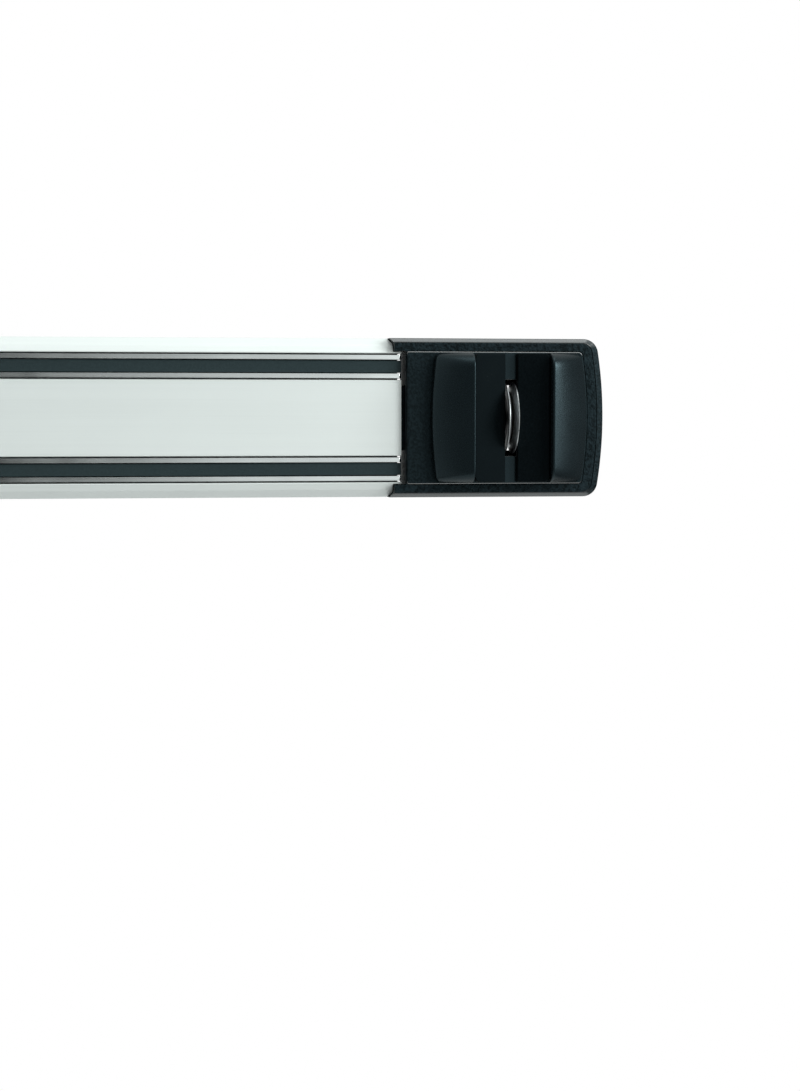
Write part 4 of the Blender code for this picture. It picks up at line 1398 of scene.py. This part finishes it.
@dataclass
class SharpeningWheels:
    """The pair of turning wheels whose inner bevels make the V, and what carries them."""

    bevel_radius: float = 0.0095
    rim: float = 0.0004
    bore: float = 0.0016
    hub: float = 0.0042
    relief: float = 0.00025
    relief_slopes: Pair = (0.0006, 0.0005)
    chamfer: float = 0.00012

    def build(self) -> None:
        """Builds both wheels and dresses the axle and the spacers."""
        middle = cap_middle()
        for side, place in ((Side.LEFT, "left"), (Side.RIGHT, "right")):
            low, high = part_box(f"{place}_sharpening_wheel")
            radius = high.z
            centre = Vector((middle, (low.y + high.y) / 2, 0.0))
            inner, outer = sorted((side.value * (low.x - middle), side.value * (high.x - middle)))
            edge, step = self.chamfer, outer - self.relief
            profile = [
                (inner, self.bore + edge),
                (inner, self.bevel_radius),
                (outer - self.rim, radius - edge / 2),
                (outer - self.rim + edge, radius),
                (outer - edge, radius),
                (outer, radius - edge),
                (outer, self.bevel_radius + self.relief_slopes[0]),
                (step, self.bevel_radius),
                (step, self.hub + self.relief_slopes[1]),
                (outer, self.hub),
                (outer, self.bore + edge),
                (outer - edge, self.bore),
                (inner + edge, self.bore),
            ]
            made = turned([(side.value * along, r) for along, r in profile], centre, True, 144)
            piece = Workpiece(f"{place}_wheel_disc", made)
            finish = WheelSteel("wheel_steel", (0.055, 0.058, 0.062), 0.5, 1.0, centre_depth=-centre.y)
            hand_over(
                piece.finish(finish.material(), 25), f"{place}_wheel", "ground_steel",
                f"{place}_sharpening_wheel",
            )
        dress_node("wheel_axle", ZINC)
        for place in ("left", "right"):
            dress_node(f"{place}_wheel_spacer", SATIN_BLACK)


@dataclass
class BackPlate:
    """The moulded plate that closes the sharpener from behind and carries the axle."""

    edge: float = 0.0002

    def build(self) -> None:
        """Builds the plate from its frame node, with its edges rounded."""
        piece = Workpiece.from_node("back_cover", "sharpener_back_plate").bevel(self.edge, 2, 50)
        hand_over(piece.finish(SATIN_BLACK.material()), ROOT, "smooth_black", "sharpener_back_plate")


# ---- Screws -------------------------------------------------------------------------------


def screw_set_tree() -> Tree:
    """Builds the tree that puts one screw at each place.

    Returns:
        The Geometry Nodes tree.
    """
    inputs = {
        "Places": (GEOMETRY, None),
        "Screw": ("NodeSocketObject", None),
        "Turn": (FLOAT, 0.4),
        "Material": ("NodeSocketMaterial", None),
    }
    bench, given, result = new_group("Screw Set", "GeometryNodeTree", inputs, {"Geometry": GEOMETRY})
    screw = bench.add("GeometryNodeObjectInfo", {"Object": given.outputs["Screw"]}).outputs["Geometry"]
    index = bench.add("GeometryNodeInputIndex").outputs[0]
    turn = bench.times(index, given.outputs["Turn"])
    spun = bench.add("ShaderNodeCombineXYZ", {1: turn}).outputs[0]
    feed = {"Points": given.outputs["Places"], "Instance": screw, "Rotation": spun}
    placed = bench.add("GeometryNodeInstanceOnPoints", feed).outputs[0]
    real = bench.add("GeometryNodeRealizeInstances", {"Geometry": placed}).outputs[0]
    feed = {"Geometry": real, "Material": given.outputs["Material"]}
    bench.tree.links.new(bench.add("GeometryNodeSetMaterial", feed).outputs[0], result.inputs[0])
    return bench.tree


class Head(Enum):
    """The two kinds of screw head."""

    PAN = "pan"
    COUNTERSUNK = "countersunk"


@dataclass
class ScrewSet:
    """Screws of one kind, all with cross recesses that open towards the wall."""

    head: Head
    name: str
    nodes: tuple[str, ...]
    recess_arm: float = 0.0016
    recess_width: float = 0.0005
    recess_depth: float = 0.0011
    recess_shrink: float = 0.55
    shank: float = 0.0015
    crown_radius: float = 0.0012
    crown_height: float = 0.0009
    turn: float = 0.7

    def profile(self, length: float, radius: float) -> list[Pair]:
        """Returns the (along, radius) profile, from the head's top to the tip."""
        if self.head is Head.PAN:
            flat, tall = self.crown_radius, self.crown_height
            head = [(0.0, 0.0), (0.0, flat)]
            for angle in (math.radians(20 * step) for step in range(1, 5)):
                head.append((tall * (1 - math.cos(angle)), flat + (radius - flat) * math.sin(angle)))
            head += [(tall, radius), (0.00155, radius), (0.0017, radius - 0.00015), (0.0017, self.shank)]
        else:
            head = [(0.0, 0.0), (0.0, radius - 0.0001), (0.0001, radius), (0.0014, self.shank)]
        tip = length - self.shank
        return [*head, (tip, self.shank), (length - 0.0002, 0.0003), (length, 0.0)]

    def build(self) -> None:
        """Builds one screw, copies it to every place and hands the set over."""
        boxes = [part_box(node) for node in self.nodes]
        low, high = boxes[0]
        length, radius = high.y - low.y, (high.x - low.x) / 2
        one = Workpiece(f"{self.name}_one", turned(self.profile(length, radius), Vector((0, 0, 0)), False))
        for wide, tall in ((self.recess_arm, self.recess_width), (self.recess_width, self.recess_arm)):
            rings = [(1.0, -OVERRUN), (1.0, 0.0), (self.recess_shrink, self.recess_depth)]
            arm = (wide, tall)
            one.cut(stacked(lambda size, arm=arm: centred(arm[0] * size, arm[1] * size), rings))
        screw = one.finish(ZINC.material(), 30)
        places = bpy.data.meshes.new(f"{self.name}_places")
        places.from_pydata([((a.x + b.x) / 2, b.y, (a.z + b.z) / 2) for a, b in boxes], [], [])
        mesh = grown_from(screw_set_tree(), places, Screw=screw, Turn=self.turn, Material=ZINC.material())
        bpy.data.objects.remove(screw, do_unlink=True)
        piece = bpy.data.objects.new(self.name, mesh)
        bpy.context.scene.collection.objects.link(piece)
        hand_over(piece, ROOT, "zinc_steel", *self.nodes)


# ---- Studio -------------------------------------------------------------------------------


STUDIO_TINT: Colour = (0.955, 1.0, 0.99, 1.0)


@dataclass(frozen=True)
class Softbox:
    """A soft rectangular light that points at the rack."""

    name: str
    place: Triple
    size: Pair
    radiance: float
    aim: Triple = (0.12, 0.0, 0.0)

    def build(self) -> None:
        """Hangs the light, unseen by the camera."""
        data = bpy.data.lights.new(self.name, "AREA")
        data.shape = "RECTANGLE"
        data.size, data.size_y = self.size
        data.energy = self.radiance * math.pi * self.size[0] * self.size[1]
        data.color = STUDIO_TINT[:3]
        obj = bpy.data.objects.new(self.name, data)
        obj.location = self.place
        way = Vector(self.aim) - Vector(self.place)
        obj.rotation_euler = way.to_track_quat("-Z", "Y").to_euler()
        obj.visible_camera = False
        bpy.context.scene.collection.objects.link(obj)


@dataclass
class Studio:
    """The camera, the lights, the floor and the surroundings."""

    lens: float = 66.0
    camera_place: Triple = (0.0514, -0.7624, 0.0)
    camera_yaw: float = 8.38
    camera_pitch: float = 3.65
    floor_height: float = -1.4
    floor_radius: float = 1.2
    floor_glow: float = 0.12
    front_ramps: tuple[Colour, ...] = (
        (-0.34, -0.14, 0.20, 0.05), (-0.04, 0.12, 0.0, 1.0), (0.25, 0.50, 0.0, -0.45)
    )
    behind_ramp: Colour = (-0.2, 0.7, 0.90, 0.12)
    back_share: Pair = (-0.5, 0.1)
    ceiling_share: Pair = (0.45, 0.80)
    ceiling_tone: float = 0.62
    floor_share: Colour = (-0.80, -0.45, 1.0, 0.0)
    floor_tone: float = 0.10
    lights: tuple[Softbox, ...] = (
        Softbox("overhead_softbox", (0.15, -0.15, 0.95), (1.2, 0.45), 1.6),
        Softbox("right_key_softbox", (1.25, -0.75, 0.5), (0.8, 0.9), 8.4),
    )

    def camera(self) -> None:
        """Places the camera, level with the rack and turned a little to the right."""
        data = bpy.data.cameras.new("camera")
        data.lens = self.lens
        data.clip_start = 0.01
        obj = bpy.data.objects.new("camera", data)
        obj.location = self.camera_place
        turn = (math.radians(90 - self.camera_pitch), 0.0, math.radians(-self.camera_yaw))
        obj.rotation_euler = turn
        bpy.context.scene.collection.objects.link(obj)
        bpy.context.scene.camera = obj

    def floor(self) -> None:
        """Lays a plain pale floor, far enough down to see the rack from below."""
        made = bmesh.new()
        rim = arc((0.12, 0.0), self.floor_radius, 0, 360, 96)[:-1]
        made.faces.new([made.verts.new((x, y, self.floor_height)) for x, y in rim])
        obj = plain_object("floor", made)
        material = bpy.data.materials.new("pale_floor")
        material.use_nodes = True
        shader = material.node_tree.nodes["Principled BSDF"]
        shader.inputs["Base Color"].default_value = (0.9, 0.9, 0.9, 1.0)
        shader.inputs["Roughness"].default_value = 0.9
        shader.inputs["Emission Color"].default_value = (1.0, 1.0, 1.0, 1.0)
        shader.inputs["Emission Strength"].default_value = self.floor_glow
        obj.data.materials.append(material)

    def surroundings(self) -> None:
        """Makes a white studio, dark where the camera stands, with a bright window to its right."""
        world = bpy.data.worlds.new("studio")
        bpy.context.scene.world = world
        world.use_nodes = True
        bench = NodeBench(world.node_tree)
        across, deep, high = bench.parts(bench.add("ShaderNodeTexCoord").outputs["Generated"])
        card, window, beyond = (bench.spread(across, *ramp) for ramp in self.front_ramps)
        toned = bench.plus(bench.plus(card, window), beyond)
        behind = bench.spread(across, *self.behind_ramp)
        for share, tone in (
            (bench.spread(deep, *self.back_share), behind),
            (bench.spread(high, *self.ceiling_share), self.ceiling_tone),
            (bench.spread(high, *self.floor_share), self.floor_tone),
        ):
            toned = bench.plus(bench.times(toned, bench.without(share)), bench.times(share, tone))
        seen = bench.add("ShaderNodeLightPath").outputs["Is Camera Ray"]
        cool = bench.blend(toned, (0.0, 0.0, 0.0, 1.0), STUDIO_TINT)
        background = world.node_tree.nodes["Background"]
        bench.link(background, {"Color": bench.blend(seen, cool, (1.0, 1.0, 1.0, 1.0))})

    def build(self) -> None:
        """Sets the whole studio up."""
        self.camera()
        self.floor()
        for light in self.lights:
            light.build()
        self.surroundings()
        bpy.context.scene.view_settings.view_transform = "Standard"


# ---- Everything ---------------------------------------------------------------------------


def main() -> None:
    """Builds the rack, piece by piece, and the studio round it."""
    logging.basicConfig(level=logging.INFO, format="%(name)s %(message)s")
    build_effects()
    parts = (
        BarProfile(),
        MagneticRails(),
        EndMoulding(Side.LEFT, "left_end_cap", "left_cap_plate", "left_moulding", "left_plate"),
        SharpenerHousing(
            Side.RIGHT, "sharpener_housing", "sharpener_face_plate", "sharpener_base", "sharpener_plate"
        ),
        SharpenerCap(),
        BladeGuides(),
        SharpeningWheels(),
        BackPlate(),
        ScrewSet(Head.PAN, "cover_screws", tuple(f"sharpener_screw_{n}" for n in range(1, 5))),
        ScrewSet(
            Head.COUNTERSUNK, "bar_screws",
            ("housing_screw_upper", "housing_screw_lower", "left_cap_screw_upper", "left_cap_screw_lower"),
        ),
        Studio(),
    )
    for part in parts:
        part.build()
        LOG.info("built %s", type(part).__name__)


if __name__ == "__main__":
    main()
